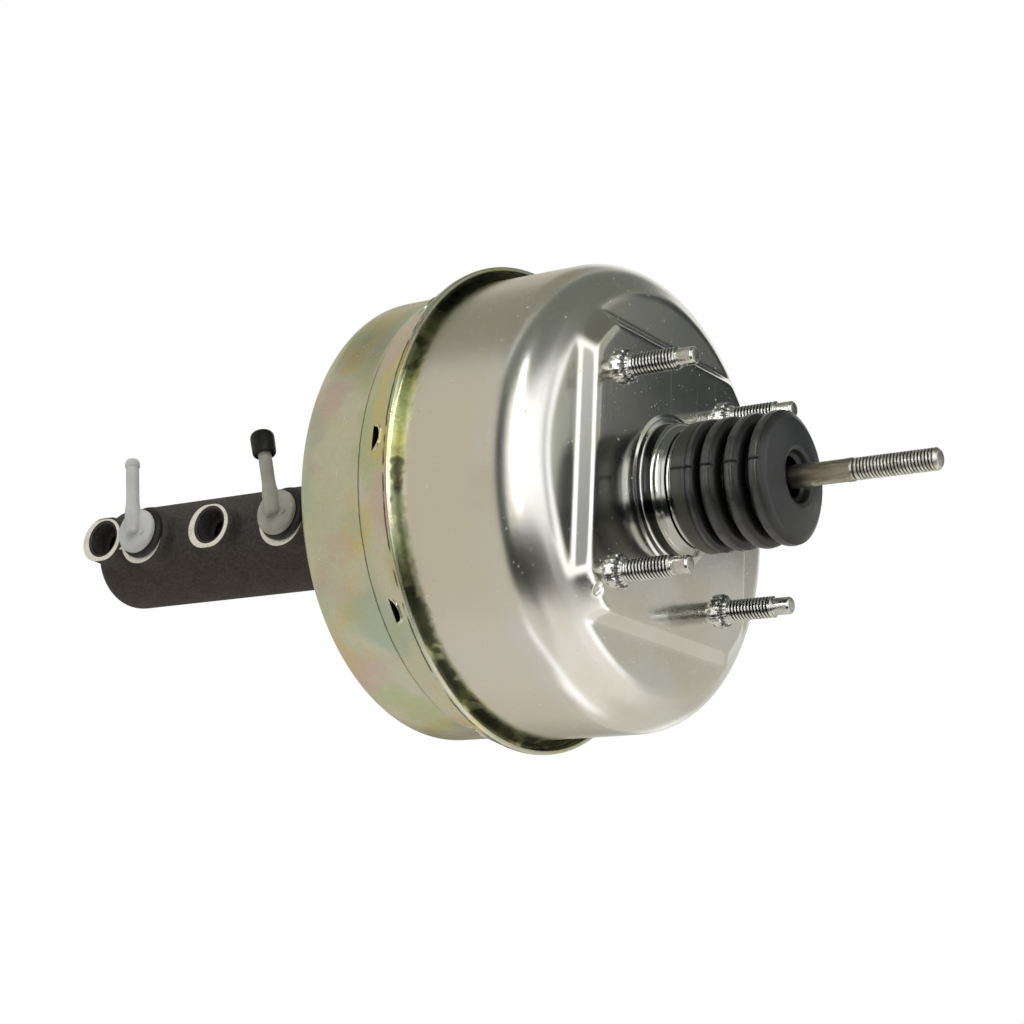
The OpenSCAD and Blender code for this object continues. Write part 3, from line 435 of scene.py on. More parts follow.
def bright_zinc():
    """Pressed and zinc plated sheet of the rear drum: nearly a mirror on the pad, softer on the wall."""
    f = Finish("bright_zinc", paint(248, 247, 243), 1.0, 0.15)
    x = f.axes()["X"]
    z = f.axes()["Z"]
    cloud = f.noise(34, 3, 0.6)
    warm = f.blend(f.span(cloud, 0.35, 0.7), paint(248, 247, 244), paint(243, 240, 229))
    wall = f.blend(f.past(x, -28, -40), warm, paint(247, 243, 233))
    # Green band in the gap behind the collar, darker above and below; painted shade, black, on the sheet inside
    # the drum
    green = f.blend(f.span(f.noise(19, 4, 0.7), 0.42, 0.6), paint(222, 224, 184), paint(172, 180, 156))
    green = f.blend(f.past(z, 45, 85), green, paint(84, 88, 72))
    blotch = f.plus(f.noise(26, 3, 0.65), f.past(z, 0, -75, 0.0, 0.16))
    green = f.blend(f.span(blotch, 0.55, 0.61, 0.0, 0.8), green, paint(66, 67, 58))
    green_band_edge = f.plus(x, f.swing(f.noise(5, 4, 0.6), 0.006))
    banded = f.blend(f.past(green_band_edge, -66.2, -70.5), wall, green)
    inside = f.blend(f.past(x, -75.2, -76.8), banded, paint(15, 15, 14))
    # Greyer boss, with painted shade at its foot and at the neck's end
    boss = f.blend(f.past(x, 4.4, 5.0), inside, paint(196, 197, 192))
    shaded = f.larger(f.between(x, (0.3, 1.0), (5.1, 4.6)), f.past(x, 11.2, 12.2))
    f.coloured(f.blend(shaded, boss, paint(46, 48, 46)))
    base = f.past(x, -3.5, -7.0, 0.145, 0.25)
    speck = f.span(f.noise(1.5, 2, 0.4), 0.735, 0.755, 0.0, 0.55)
    f.roughened(f.plus(f.plus(base, f.swing(cloud, 0.10)), speck))
    # Frosted shoulder and wall, orange peel, drawing streaks, fine grain and scratches
    f.raised(f.times(f.noise(0.9, 3, 0.6), f.past(x, -6, -12)), 0.010)
    f.raised(f.noise(2.6, 3, 0.5), 0.006)
    f.raised(f.noise(7, 5, 0.65, f.mapped(scale=(0.35, 4, 4))), 0.008)
    f.raised(f.noise(0.35, 2, 0.5), 0.0012)
    scratch = f.noise(60, 2, 0.4, f.mapped(scale=(1, 9, 0.7), turn=(0.5, 0.3, 0.2)))
    f.raised(f.span(scratch, 0.612, 0.618), 0.01, 0.4)
    return f.material


def passivated_zinc():
    """Yellowish plated sheet of the front drum: rainbow patches, fine grain, painted shade along the crease and
    a broken dark line at the rim.
    """
    f = Finish("passivated_zinc", paint(235, 235, 205), 1.0, 0.3)
    first = f.noise(42, 3, 0.5, f.mapped(scale=(1, 0.8, 0.8), centre=(0.02, 0.01, 0.03)))
    second = f.noise(32, 4, 0.52, f.mapped(scale=(1.2, 0.9, 0.9), centre=(0.31, 0.14, 0.05)))
    third = f.noise(38, 3, 0.5, f.mapped(centre=(-0.2, 0.4, 0.1)))
    colour = f.blend(f.span(f.noise(48, 2), 0.35, 0.65), paint(240, 240, 221), paint(233, 236, 214))
    for cloud, low, high, most, tint in (
            (first, 0.52, 0.66, 0.6, paint(206, 224, 168)),
            (second, 0.52, 0.66, 0.7, paint(242, 228, 160)),
            (third, 0.52, 0.66, 0.6, paint(238, 208, 204)),
            (first, 0.46, 0.32, 0.5, paint(184, 216, 202)),
            (second, 0.42, 0.30, 0.3, paint(232, 204, 150))):
        colour = f.blend(f.span(cloud, low, high, 0.0, most), colour, tint)
    grain = f.noise(2.2, 5, 0.7)
    colour = f.blend(f.span(grain, 0.3, 0.75, 0.0, 0.14), colour, paint(170, 165, 138))
    along = f.plus(f.axes()["X"], f.swing(f.noise(4, 4, 0.6), 0.0012))
    # Painted shade along the crease, and a broken dark line at the rim
    crease = f.between(along, (-93.9, -93.5), (-92.4, -92.8))
    rim = f.between(along, (-74.6, -74.2), (-73.3, -73.7))
    crease_shade_and_rim_line = f.larger(crease, f.times(rim, f.span(f.noise(12, 3), 0.38, 0.5)))
    f.coloured(f.blend(f.times(crease_shade_and_rim_line, 0.85), colour, paint(48, 48, 36)))
    f.roughened(f.span(f.noise(16, 4), 0.3, 0.7, 0.25, 0.36))
    f.raised(grain, 0.012)
    f.raised(f.noise(8, 5, 0.65, f.mapped(scale=(0.4, 3, 3))), 0.015)
    f.raised(f.noise(0.4, 2), 0.002)
    return f.material


def plated_steel(name, colour, dark, roughness, grain_mm=1.2):
    """Plated turned part: small colour changes, handling marks and a fine skin."""
    f = Finish(name, colour, 1.0, roughness)
    f.coloured(f.blend(f.span(f.noise(5, 5, 0.7), 0.42, 0.72), colour, dark))
    f.roughened(f.span(f.noise(grain_mm, 4), 0.3, 0.7, roughness - 0.07, roughness + 0.12))
    f.raised(f.noise(grain_mm * 0.35, 3), 0.012)
    return f.material


def stud_plating():
    """Bright plated studs: painted shade in the roots between the threads and teeth."""
    f = Finish("stud_plating", paint(232, 233, 230), 1.0, 0.22)
    x = f.axes()["X"]
    offset = f.vector("SUBTRACT", f.vector("ABSOLUTE", f.coords), (0.0, STUD_Y * MM, STUD_Z * MM))
    out = f.length(f.vector("MULTIPLY", offset, (0.0, 1.0, 1.0)))
    # Painted shade in the thread roots and between the collar's teeth
    root = f.times(f.past(out, 4.55, 4.20), f.between(x, (4.0, 4.6), (26.2, 25.6)))
    tooth_valley_shade = f.times(f.past(out, 7.15, 6.8, 0.0, 0.7), f.between(x, (0.1, 0.3), (2.8, 2.6)))
    skin = f.blend(f.span(f.noise(5, 5, 0.7), 0.42, 0.72), paint(234, 235, 232), paint(188, 187, 180))
    f.coloured(f.blend(f.larger(root, tooth_valley_shade), skin, paint(30, 30, 28)))
    f.roughened(f.span(f.noise(1.2, 4), 0.3, 0.7, 0.16, 0.28))
    f.raised(f.noise(0.45, 3), 0.008)
    return f.material


def drawn_rod():
    """Push rod: dull drawn shank, and a brighter rolled thread with painted shade in its roots."""
    f = Finish("rod_steel", paint(168, 160, 146), 1.0, 0.34)
    x = f.axes()["X"]
    drawn = f.noise(3, 5, 0.7, f.mapped(scale=(0.12, 1, 1)))
    shank = f.blend(f.span(drawn, 0.38, 0.66), paint(186, 180, 168), paint(132, 124, 108))
    crest = f.blend(f.span(f.noise(2.4), 0.4, 0.65), paint(240, 240, 236), paint(196, 192, 180))
    # Painted shade in the thread's roots
    root = f.times(f.past(f.from_axis(), 4.46, 4.16), f.past(x, 121.9, 121.4))
    thread = f.blend(root, crest, paint(44, 42, 38))
    f.coloured(f.blend(f.past(x, 84.6, 85.6), shank, thread))
    f.roughened(f.span(drawn, 0.3, 0.7, 0.26, 0.42))
    f.raised(drawn, 0.01)
    return f.material


def rubber(name, colour, dusty, roughness, grain_mm=0.5):
    """Moulded rubber: fine pebble and faint dusty patches."""
    f = Finish(name, colour, 0.0, roughness)
    f.coloured(f.blend(f.span(f.noise(9, 5, 0.65), 0.4, 0.75), colour, dusty))
    f.roughened(f.span(f.noise(3, 4), 0.3, 0.7, roughness - 0.08, roughness + 0.12))
    f.raised(f.noise(grain_mm, 3, 0.6), 0.012)
    return f.material


def bellows_rubber():
    """Satin rubber of the bellows: painted shade, black, between the folds, painted highlights with some rubbing
    on the crests, olive lip, paler end.
    """
    f = Finish("boot_rubber", paint(28, 28, 28), 0.0, 0.3)
    x = f.axes()["X"]
    radius = f.from_axis()
    cloud = f.noise(14, 3, 0.5)
    skin = f.blend(f.span(cloud, 0.35, 0.7), paint(27, 27, 27), paint(34, 34, 34))
    # Lighter crests: a painted highlight, with some rubbing
    crest = f.times(f.past(radius, 28.25, 28.5), f.span(f.noise(6, 3), 0.3, 0.6, 0.25, 0.8))
    highlit_rubbed_crest = f.blend(crest, skin, paint(70, 71, 70))
    lip = f.between(x, (14.0, 15.2), (20.7, 19.8))
    olive = f.blend(f.times(lip, 0.8), highlit_rubbed_crest, paint(58, 60, 48))
    # Painted shade: near black between the folds
    fold_shade = f.times(f.past(radius, 27.0, 24.6), f.past(x, 57.2, 56.0))
    deep = f.blend(fold_shade, olive, paint(7, 7, 7))
    end = f.times(f.past(x, 55.8, 58.6), f.past(radius, 11.2, 12.2))
    f.coloured(f.blend(end, deep, paint(52, 53, 55)))
    f.roughened(f.span(cloud, 0.3, 0.7, 0.26, 0.36))
    f.raised(f.noise(0.6, 2, 0.5), 0.003)
    return f.material


def sand_cast():
    """Bare sand casting: brown grey skin with pits, redder underneath from rust and darker there from painted
    shade, with pale specks as painted glints.
    """
    f = Finish("sand_cast", paint(72, 67, 62), 0.0, 0.72)
    skin = f.noise(1.5, 6, 0.7)
    cloud = f.noise(14, 4, 0.6)
    upper = f.blend(f.span(skin, 0.35, 0.7), paint(50, 47, 44), paint(72, 68, 64))
    lower = f.blend(f.span(skin, 0.35, 0.7), paint(46, 39, 36), paint(66, 57, 52))
    # Redder and darker towards the bottom: rust, with painted shade
    height = f.plus(f.axes()["Z"], f.times(cloud, 0.016))
    rust_and_shade_below = f.blend(f.past(height, 12, -12), upper, lower)
    # Pale specks: painted glints on the cast skin
    f.coloured(f.blend(f.span(f.noise(0.9, 2), 0.70, 0.76, 0.0, 0.4), rust_and_shade_below, paint(126, 121, 114)))
    f.roughened(f.span(cloud, 0.3, 0.7, 0.62, 0.85))
    f.raised(skin, 0.13)
    f.raised(f.span(f.specks(2.4), 0.0, 0.25), 0.06)
    f.raised(f.noise(9, 3), 0.25)
    f.set(Specular_IOR_Level=0.35)
    return f.material


def machined(name, colour, dark, metallic=1.0):
    """Faced metal with a fine tool grain and a few stains."""
    f = Finish(name, colour, metallic, 0.3)
    f.coloured(f.blend(f.span(f.noise(4, 5, 0.7), 0.45, 0.75), colour, dark))
    f.roughened(f.span(f.noise(1.4, 4), 0.3, 0.7, 0.24, 0.42))
    f.raised(f.noise(0.28, 3, 0.6), 0.02)
    return f.material


def milky_plastic(name, colour, deep):
    """Natural nylon: milky, softly glossy, a little light passes through."""
    f = Finish(name, colour, 0.0, 0.28)
    f.coloured(f.blend(f.span(f.noise(16, 2), 0.3, 0.75), colour, deep))
    f.roughened(f.span(f.noise(6, 2), 0.3, 0.7, 0.24, 0.34))
    f.raised(f.noise(0.5, 2), 0.004)
    f.set(Subsurface_Weight=0.15, Subsurface_Scale=0.003, IOR=1.5)
    return f.material


def plain_grain(name, colour, other, roughness, grain_mm, depth_mm=0.03):
    """Plain moulded or felted skin with a soft grain."""
    f = Finish(name, colour, 0.0, roughness)
    f.coloured(f.blend(f.span(f.noise(grain_mm * 4, 4), 0.35, 0.7), colour, other))
    f.roughened(f.span(f.noise(grain_mm * 2, 3), 0.3, 0.7, roughness - 0.06, roughness + 0.08))
    f.raised(f.noise(grain_mm, 3), depth_mm)
    return f.material


rear_finish = bright_zinc()
front_finish = passivated_zinc()
stud_finish = stud_plating()
nut_finish = plated_steel("nut_plating", paint(196, 194, 184), paint(140, 134, 120), 0.34)
screw_finish = plated_steel("plug_plating", paint(216, 208, 188), paint(168, 156, 130), 0.32)
cut_finish = plated_steel("bright_cut_edge", paint(252, 252, 247), paint(226, 226, 214), 0.2)
plate_finish = plated_steel("plate_plating", paint(200, 200, 192), paint(160, 156, 144), 0.36, 2.0)
inner_finish = plated_steel("inner_steel", paint(170, 168, 162), paint(130, 126, 118), 0.4, 2.0)
spring_finish = plated_steel("spring_wire", paint(120, 124, 128), paint(80, 82, 84), 0.35)
push_rod_finish = drawn_rod()
boot_finish = bellows_rubber()
diaphragm_finish = rubber("diaphragm_rubber", paint(26, 26, 26), paint(37, 37, 36), 0.4)
black_finish = rubber("black_rubber", paint(26, 26, 27), paint(44, 44, 44), 0.5)
cap_finish = rubber("cap_rubber", paint(12, 12, 12), paint(22, 22, 22), 0.4)
cast_finish = sand_cast()
face_finish = machined("machined_face", paint(238, 235, 226), paint(212, 206, 194), 0.5)
# Port threads are painted dark: painted shade deep inside the outlet ports
port_thread_shade_finish = machined("port_thread_painted_shade", paint(56, 52, 48), paint(30, 27, 24))
piston_finish = machined("piston_alloy", paint(196, 196, 190), paint(160, 158, 150))
brass_finish = machined("seat_brass", paint(206, 176, 110), paint(170, 136, 78))
clear_elbow_finish = milky_plastic("milky_elbow", paint(184, 184, 182), paint(170, 171, 169))
grey_elbow_finish = milky_plastic("grey_elbow", paint(160, 158, 148), paint(136, 134, 124))
resin_finish = plain_grain("glass_filled_resin", paint(60, 60, 58), paint(76, 75, 72), 0.5, 1.0)
felt_finish = plain_grain("filter_felt", paint(96, 92, 80), paint(130, 124, 108), 0.95, 0.4, 0.2)
valve_finish = plain_grain("check_valve_plastic", paint(34, 34, 36), paint(50, 50, 52), 0.38, 0.8)


# Rear drum

def meet_low(a, b, soft):
    """The lower of two heights, with the crossing eased."""
    near = max(soft - abs(a - b), 0.0) / soft
    return min(a, b) - near * near * soft / 4


def dome_height(r, inset=0.0):
    """Height of the drum's rear at radius r: flat, sloping shoulder, round corner."""
    slope = SHOULDER_SLOPE
    flat_end = SHOULDER_R - SHOULDER_BEND * math.tan(slope / 2)
    bend = SHOULDER_BEND - inset
    corner = CORNER_BEND - inset
    bend_end = flat_end + bend * math.sin(slope)
    if r <= flat_end:
        return -inset
    if r <= bend_end:
        return -SHOULDER_BEND + math.sqrt(bend * bend - (r - flat_end) ** 2)
    if r <= CORNER_R + corner * math.sin(slope):
        return -SHOULDER_BEND + bend * math.cos(slope) - (r - bend_end) * math.tan(slope)
    reach = min(r - CORNER_R, corner)
    return CORNER_X + math.sqrt(corner * corner - reach * reach)


def fold_height(u, half, run, bend, inset):
    """Height of the pad beside one of its folded edges, u away from the middle."""
    slope = math.atan(LEDGE / run)
    half_tan = math.tan(slope / 2)
    fold = half - inset * half_tan
    over = bend - inset
    under = bend + inset
    start = fold - over * half_tan
    end = fold + run + under * half_tan
    if u <= start:
        return -inset
    if u >= end:
        return -inset - LEDGE
    if u <= start + over * math.sin(slope):
        return -inset - over + math.sqrt(over * over - (u - start) ** 2)
    if u >= end - under * math.sin(slope):
        return -inset - LEDGE + under - math.sqrt(under * under - (end - u) ** 2)
    top = -inset - over * (1 - math.cos(slope))
    return top - (u - start - over * math.sin(slope)) * math.tan(slope)


def dimple_height(away, ball=6.4, depth=0.8, mouth=3.1):
    """Height round the punched dimple: the bowl of a ball, with a faint raised lip."""
    bowl = ball - depth - math.sqrt(ball * ball - min(away, mouth) ** 2)
    lip = 0.06 * max(0.0, 1 - abs(away - 3.3) / 0.8)
    return (bowl if away < mouth else 0.0) + lip


def from_dimple(y, z):
    return math.hypot(y - DIMPLE_Y, z - DIMPLE_Z)


def rear_height(y, z, inset):
    """Height of the drum's rear: a square pad folded up out of the dome, with a dimple on its outside."""
    side = fold_height(abs(y), 61.8, 8.7, 8.6, inset)
    top = fold_height(abs(z), 60.7, 5.5, 3.0, inset)
    pad = meet_low(side, top, 1.5) - 0.007 * max(0.0, abs(y) - 73.0) ** 2
    height = meet_low(dome_height(math.hypot(y, z), inset), pad, 1.6)
    if inset == 0:
        height += dimple_height(from_dimple(y, z))
    return height


def collar_at(x):
    """Outside radius of the flared collar."""
    if x > FLARE_END_X:
        return COLLAR_R
    return CREASE_R + (COLLAR_R - CREASE_R) * (x - CREASE_X) / (FLARE_END_X - CREASE_X)


def flared(x, r, width, height, angles):
    """Quarter of an ellipse that opens the drum's wall into its lip."""
    points = []
    for degrees in angles:
        t = math.radians(degrees)
        points.append((x + width * (1 - math.cos(t)), r + height * (1 - math.sin(t))))
    return points


def rear_drum():
    """Rear drum: a sheet turned with its neck, boss and lip, whose end is then folded to the pad."""
    lip_x = -75.5
    lip_end_x = -86.0
    lip_r = collar_at(lip_x) - SHEET - 0.3
    lip_end_r = collar_at(lip_end_x) - SHEET - 0.3
    step = lip_r - SHELL_R
    outline = shaped([(12.4, 22.2), (12.8, 22.6, 0.2), (12.8, 24.7, 0.3), (11.6, 25.3, 0.4), (10.7, 25.3, 0.3),
                      (10.3, 26.5, 0.3), (8.8, 27.9, 1.2), (7.0, 28.9, 1.4), (5.0, 29.1, 0.5), (4.7, 28.7, 0.2),
                      (1.2, 28.7, 0.6), (0.25, 29.6, 0.6), (0.0, 31.4, 0.6), (0.0, 32.4)], closed=False)
    outline += [(0.0, 33.2 + 0.7 * i) for i in range(76)]
    outline += [(dome_height(r), r) for r in [86.43] + [87.1 + 0.95 * i for i in range(7)]]
    outline += arc(CORNER_X, CORNER_R, CORNER_BEND, 28, 90, 14)
    outline += [(x, SHELL_R) for x in range(-32, -63, -6)]
    outline += flared(lip_x, SHELL_R, 7.5, step, range(90, -1, -15))
    outline += [(-80.0, collar_at(-80.0) - SHEET - 0.3), (-85.6, lip_end_r + 0.1), (lip_end_x, lip_end_r - 0.3)]
    outline += [(lip_end_x, lip_end_r - SHEET), (lip_x, lip_r - SHEET)]
    outline += flared(lip_x, SHELL_R - SHEET, 6.5, step, range(15, 91, 15))
    outline += [(-60, SHELL_R - SHEET), (-40, SHELL_R - SHEET)]
    outline += arc(CORNER_X, CORNER_R, CORNER_BEND - SHEET, 90, 30, 7)
    inner = [90.4 - 1.6 * i for i in range(4)] + [84.0 - 2.0 * i for i in range(13)]
    outline += [(dome_height(r, SHEET), r) for r in inner]
    outline += [(-SHEET, 50.0), (-SHEET, 40.0), (-SHEET, 29.0), (-SHEET, 27.5), (4.2, 27.5), (4.2, 22.2)]
    bm = turned(outline, 400)

    def folds(v):
        return v.co.x > -26.0 and 33.0 < off_axis(v) < 94.0

    def is_lining(v):
        return v.co.x < dome_height(off_axis(v)) - SHEET / 2

    near = {v for v in bm.verts if folds(v) and not is_lining(v) and from_dimple(v.co.y, v.co.z) < 6.0}
    dimple = [e for e in bm.edges if e.verts[0] in near and e.verts[1] in near]
    bmesh.ops.subdivide_edges(bm, edges=dimple, cuts=3, use_grid_fill=True)
    for v in bm.verts:
        if folds(v):
            v.co.x = rear_height(v.co.y, v.co.z, SHEET if is_lining(v) else 0.0)
    finished(solid("rear_drum", bm), rear_finish, "housing", "rear_shell", 40.0)


rear_drum()


# Front drum

def lance_tool(angle):
    """Half round punch through the collar."""
    bm = placed(bar(5.5, 24, 64), roll(90, "X"))
    for at, keep in ((0.0, -1), (4.8, 1)):
        cut = bmesh.ops.bisect_plane(bm, geom=bm.verts[:] + bm.edges[:] + bm.faces[:], plane_co=(at, 0, 0),
                                     plane_no=(keep, 0, 0), clear_outer=True)
        rim = [g for g in cut["geom_cut"] if isinstance(g, bmesh.types.BMEdge)]
        bmesh.ops.holes_fill(bm, edges=rim)
    bmesh.ops.recalc_face_normals(bm, faces=bm.faces)
    return placed(bm, roll(angle, "X") @ shift(LANCE_X, -106, 0))


def lance_lip(angle):
    """Sheet turned up along the round side of a lance."""
    bm = bmesh.new()
    bmesh.ops.create_circle(bm, segments=10, radius=0.8)
    placed(bm, shift(0, 5.75, 0) @ roll(90, "Y"))
    bmesh.ops.spin(bm, geom=bm.verts[:] + bm.edges[:], cent=(0, 0, 0), axis=(0, 0, 1),
                   angle=-math.radians(150), steps=28)
    placed(bm, roll(-15, "Z"))
    bmesh.ops.holes_fill(bm, edges=[e for e in bm.edges if e.is_boundary])
    bmesh.ops.recalc_face_normals(bm, faces=bm.faces)
    for v in bm.verts:
        along, across, up = v.co
        x = LANCE_X + min(along, 5.35)
        reach = collar_at(x) + up * (0.5 + 0.35 * min(1.0, max(0.0, along / 4))) - 0.05
        turn = across / collar_at(x)
        v.co = (x, -reach * math.cos(turn), reach * math.sin(turn))
    return placed(bm, roll(angle, "X"))


def front_drum():
    """Front drum: pressed rings, a step forward at the outer ring, and a flared collar with lances."""
    outline = shaped([
        (-123.2, 17.1, 0), (-125, 17.1, 0.3), (-125, 53.5, 2.5), (-122.5, 58, 2), (-122.5, 66, 2),
        (-125, 70.5, 2.5)], closed=False, steps=5)[:-1]
    outline += shaped([(-125, 72), (-125, 79.4, 3.0), (-130, 84.6, 3.0), (-130, 88.6)], closed=False)
    outline += arc(-119, 89.2, 11, 180, 90, 14)
    outline += [(-112, FRONT_R), (-105, FRONT_R)]
    outline += shaped([
        (-99, FRONT_R), (-94.2, FRONT_R, 1.2), (-92, 101.7, 1.4), (-83, collar_at(-83)), (-74.2, COLLAR_R, 1.5),
        (-72, COLLAR_R, 1.2), (-72, COLLAR_R - SHEET, 0.4), (-74, COLLAR_R - SHEET, 1),
        (-92, CREASE_R - SHEET, 1.5), (-94, FRONT_R - SHEET, 1), (-100, FRONT_R - SHEET)], closed=False, steps=5)
    outline += arc(-119, 89.2, 9.2, 90, 180, 10)
    outline += shaped([
        (-128.2, 88.6), (-128.2, 85.2, 3.0), (-123.2, 80.0, 3.0), (-123.2, 72), (-123.2, 70.1, 2),
        (-120.7, 65.6, 2), (-120.7, 58.4, 2), (-123.2, 53.9, 2), (-123.2, 40)], closed=False)
    drum = solid("front_drum", turned(outline, 256))
    holes = [lance_tool(angle) for angle in LANCE_ANGLES]
    for y in (-FLANGE_STUD_Y, FLANGE_STUD_Y):
        holes.append(placed(bar(4.8, 8, 48), shift(-124, y, 0) @ roll(90, "Y")))
    holes.append(placed(bar(9.5, 12, 64), shift(-122, CHECK_VALVE_Y, CHECK_VALVE_Z) @ roll(90, "Y")))
    carve(drum, gathered(holes))
    finished(drum, front_finish, "housing", "front_shell", 30.0)
    lips = solid("lance_lips", gathered([lance_lip(angle) for angle in LANCE_ANGLES]))
    finished(lips, cut_finish, "housing", None, 60.0)


front_drum()


# Studs and nuts

def pad_stud(y, z, spin):
    """Serrated press-in stud: collar with teeth, rolled thread, undercut and plain dog point."""
    collar = turned(shaped([
        (-5.3, 0), (-5.3, 9, 0.4), (-4.3, 10, 0.4), (-1.8, 10, 0.2), (-1.8, 7.6, 0), (0.5, 7.6, 0),
        (1.35, 7.6, 0.25), (1.95, 7.0, 0.2), (1.95, 6.25, 0.2), (3.3, 5.85, 0.3), (4.1, 4.7, 0.2),
        (4.1, 0)], closed=False), 168, False)
    teeth = 14
    tooth_depth = 0.75
    for v in collar.verts:
        r = off_axis(v)
        if v.co.x < 0.55 or r < 5.6:
            continue
        phase = (around(v) / FULL * teeth) % 1.0
        tooth = min(1.0, max(0.0, 2.6 * abs(2 * phase - 1) - 0.6))
        widen(v, (r - tooth_depth * (1 - tooth) * (1.0 if r > 6.4 else 0.5)) / r)
    start = 4.6
    stop = 25.5
    outline = [(3.0, 0), (3.0, 4.3), (3.9, 4.35)] + rows(start, stop, THREAD_R, STUD_PITCH / 9)
    outline += shaped([(stop, THREAD_R), (26.3, 3.7, 0.3), (27.4, 3.85, 0.2), (33.2, 3.85, 0.3), (34, 3.1, 0.4),
                       (34, 0)], closed=False)[1:]
    shank = turned(outline, 44, False)
    screw_cut(shank, start, stop, THREAD_R, STUD_PITCH, 0.78)
    return placed(gathered([collar, shank]), shift(0, y, z) @ roll(spin, "X"))


def flange_stud(y):
    """Stud that holds the master cylinder: thread, plain shank and a pressed-in head."""
    start = -150
    stop = -137
    outline = [(-151, 0), (-151, 3.8), (-150.4, 4.2)] + rows(start, stop, THREAD_R, STUD_PITCH / 8)
    outline += shaped([(stop, THREAD_R), (-120.2, THREAD_R), (-120.2, 7.5, 0.2), (-117.2, 7.5, 0.6),
                       (-116.6, 6.8, 0.2), (-116.6, 0)], closed=False)[1:]
    bm = turned(outline, 40, False)
    screw_cut(bm, start, stop, THREAD_R, STUD_PITCH, 0.7)
    return placed(bm, shift(0, y, 0))


def flange_nut(y):
    """Hexagon nut with chamfered crown and a washer face."""
    bm = turned(shaped([
        (-145, 4.85), (-145, 7.0, 0.2), (-144.1, 8.26, 0.2), (-142, 8.26), (-140, 8.26), (-138.3, 8.26),
        (-138.1, 8.2, 0.2), (-137.9, 7.2), (-137, 7.15, 0.2), (-137, 4.85)]), 192)
    plane_hexagon(bm, 7.15)
    return placed(bm, shift(0, y, 0))


pad_studs = solid("pad_studs", gathered([
    pad_stud(-STUD_Y, STUD_Z, 0), pad_stud(-STUD_Y, -STUD_Z, 70), pad_stud(STUD_Y, STUD_Z, 140),
    pad_stud(STUD_Y, -STUD_Z, 230)]))
flange_studs = solid("flange_studs", gathered([flange_stud(-FLANGE_STUD_Y), flange_stud(FLANGE_STUD_Y)]))
flange_nuts = solid("flange_nuts", gathered([flange_nut(-FLANGE_STUD_Y), flange_nut(FLANGE_STUD_Y)]))
finished(pad_studs, stud_finish, "housing", "firewall_studs", 28.0)
finished(flange_studs, stud_finish, "housing", "mc_studs", 28.0)
finished(flange_nuts, nut_finish, "housing", "mc_nuts", 25.0)


# Boot and push rod

def bellows():
    """Rubber bellows: four fat folds, a thick lip on the neck and a flat end round the rod."""
    folds = [19 + 11.3 * i for i in range(4)]
    outside = [(12.9, 26.0, 0.3), (13.5, 27.5, 0.6), (15.4, 28.4, 0.6), (19.6, 28.3, 0.5), (20.5, 27.6, 0.3)]
    outside += [(21.2, 28.2, 0.5), (22.6, 28.7, 0.6), (24.4, 27.6, 1.2), (25.3, 24.4, 1.0), (24.9, 22.2, 0.8)]
    for at in folds[1:]:
        outside += [(at - 4.0, 25.2, 1.2), (at - 2.0, 28.2, 1.4), (at + 0.9, 28.7, 0.6), (at + 1.8, 28.3, 0.4),
                    (at + 2.7, 28.4, 0.5)]
        if at != folds[-1]:
            outside += [(at + 4.2, 26.6, 1.3), (at + 5.2, 23.8, 0.9), (at + 5.1, 22.0, 0.8)]
    outside += [(57.6, 25.0, 1.0), (59.1, 17.6, 1.2), (59.7, 12.9, 0.9), (59.2, 11.3, 0.7), (56.6, 10.6, 0.6)]
    inside = [(55.6, 8.8, 0.4), (54.6, 8.8, 0.3), (54.8, 11.6, 0.5), (56.4, 17, 1.0)]
    for at in reversed(folds):
        inside += [(at + 2.6, 26.0, 0.8), (at + 1.0, 27.0, 0.6), (at - 1.0, 27.0, 0.6)]
        inside += [(at - 4.0, 26.0, 0.8)] if at == folds[0] else [(at - 5.75, 21.0, 0.8)]
    inside += [(14.2, 25.6, 0.3), (12.9, 25.5, 0.2)]
    bm = turned(shaped(outside + inside, steps=5), 240)
    # The mould's parting line: a nick with a faint ridge beside it, on both sides of the folds
    for v in bm.verts:
        r = off_axis(v)
        angle = math.degrees(around(v))
        seam = min(turn_between(angle, 177), turn_between(angle, -3))
        if seam < 1.6 and r > 27.0 and 13 < v.co.x < 57:
            notch = 0.45 if seam < 0.9 else -0.18
            widen(v, (r - notch) / r)
    boot = solid("bellows", bm)
    finished(boot, boot_finish, None, None, 50.0)
    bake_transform(boot)
    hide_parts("boot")


bellows()


def rod():
    """Push rod: ball, waist, small collar, shank with two spanner flats, and a chamfered thread."""
    outline = arc(-30, 0, 5, 180, 48, 10)
    outline[0] = (-35, 0)
    outline += shaped([(-26, 3.6), (-14, 3.6, 1), (-12, 5, 0.6), (29.2, 5, 0.2), (29.2, 6.5, 0.2),
                       (30.4, 6.5, 0.2), (30.8, 5, 0.2), (60, 5)], closed=False)
    outline += rows(64, 84, 5.0, 1.0) + [(84.6, 5.0), (85.1, 4.6), (85.5, 4.2), (86.1, 4.25)]
    start = 86.6
    stop = 121.6
    outline += rows(start, stop, THREAD_R, ROD_PITCH / 10)
    outline += shaped([(stop, THREAD_R), (121.9, 4.6, 0.1), (123, 3.5, 0.3), (123, 0)], closed=False)[1:]
    bm = turned(outline, 44, False)
    screw_cut(bm, start, stop, THREAD_R, ROD_PITCH, 0.75, 0.8)
    for v in bm.verts:
        if 67 < v.co.x < 81.5:
            v.co.z = max(-4.4, min(4.4, v.co.z))
    return solid("rod", bm)


finished(rod(), push_rod_finish, "push_rod", "push_rod", 28.0)


# Master cylinder

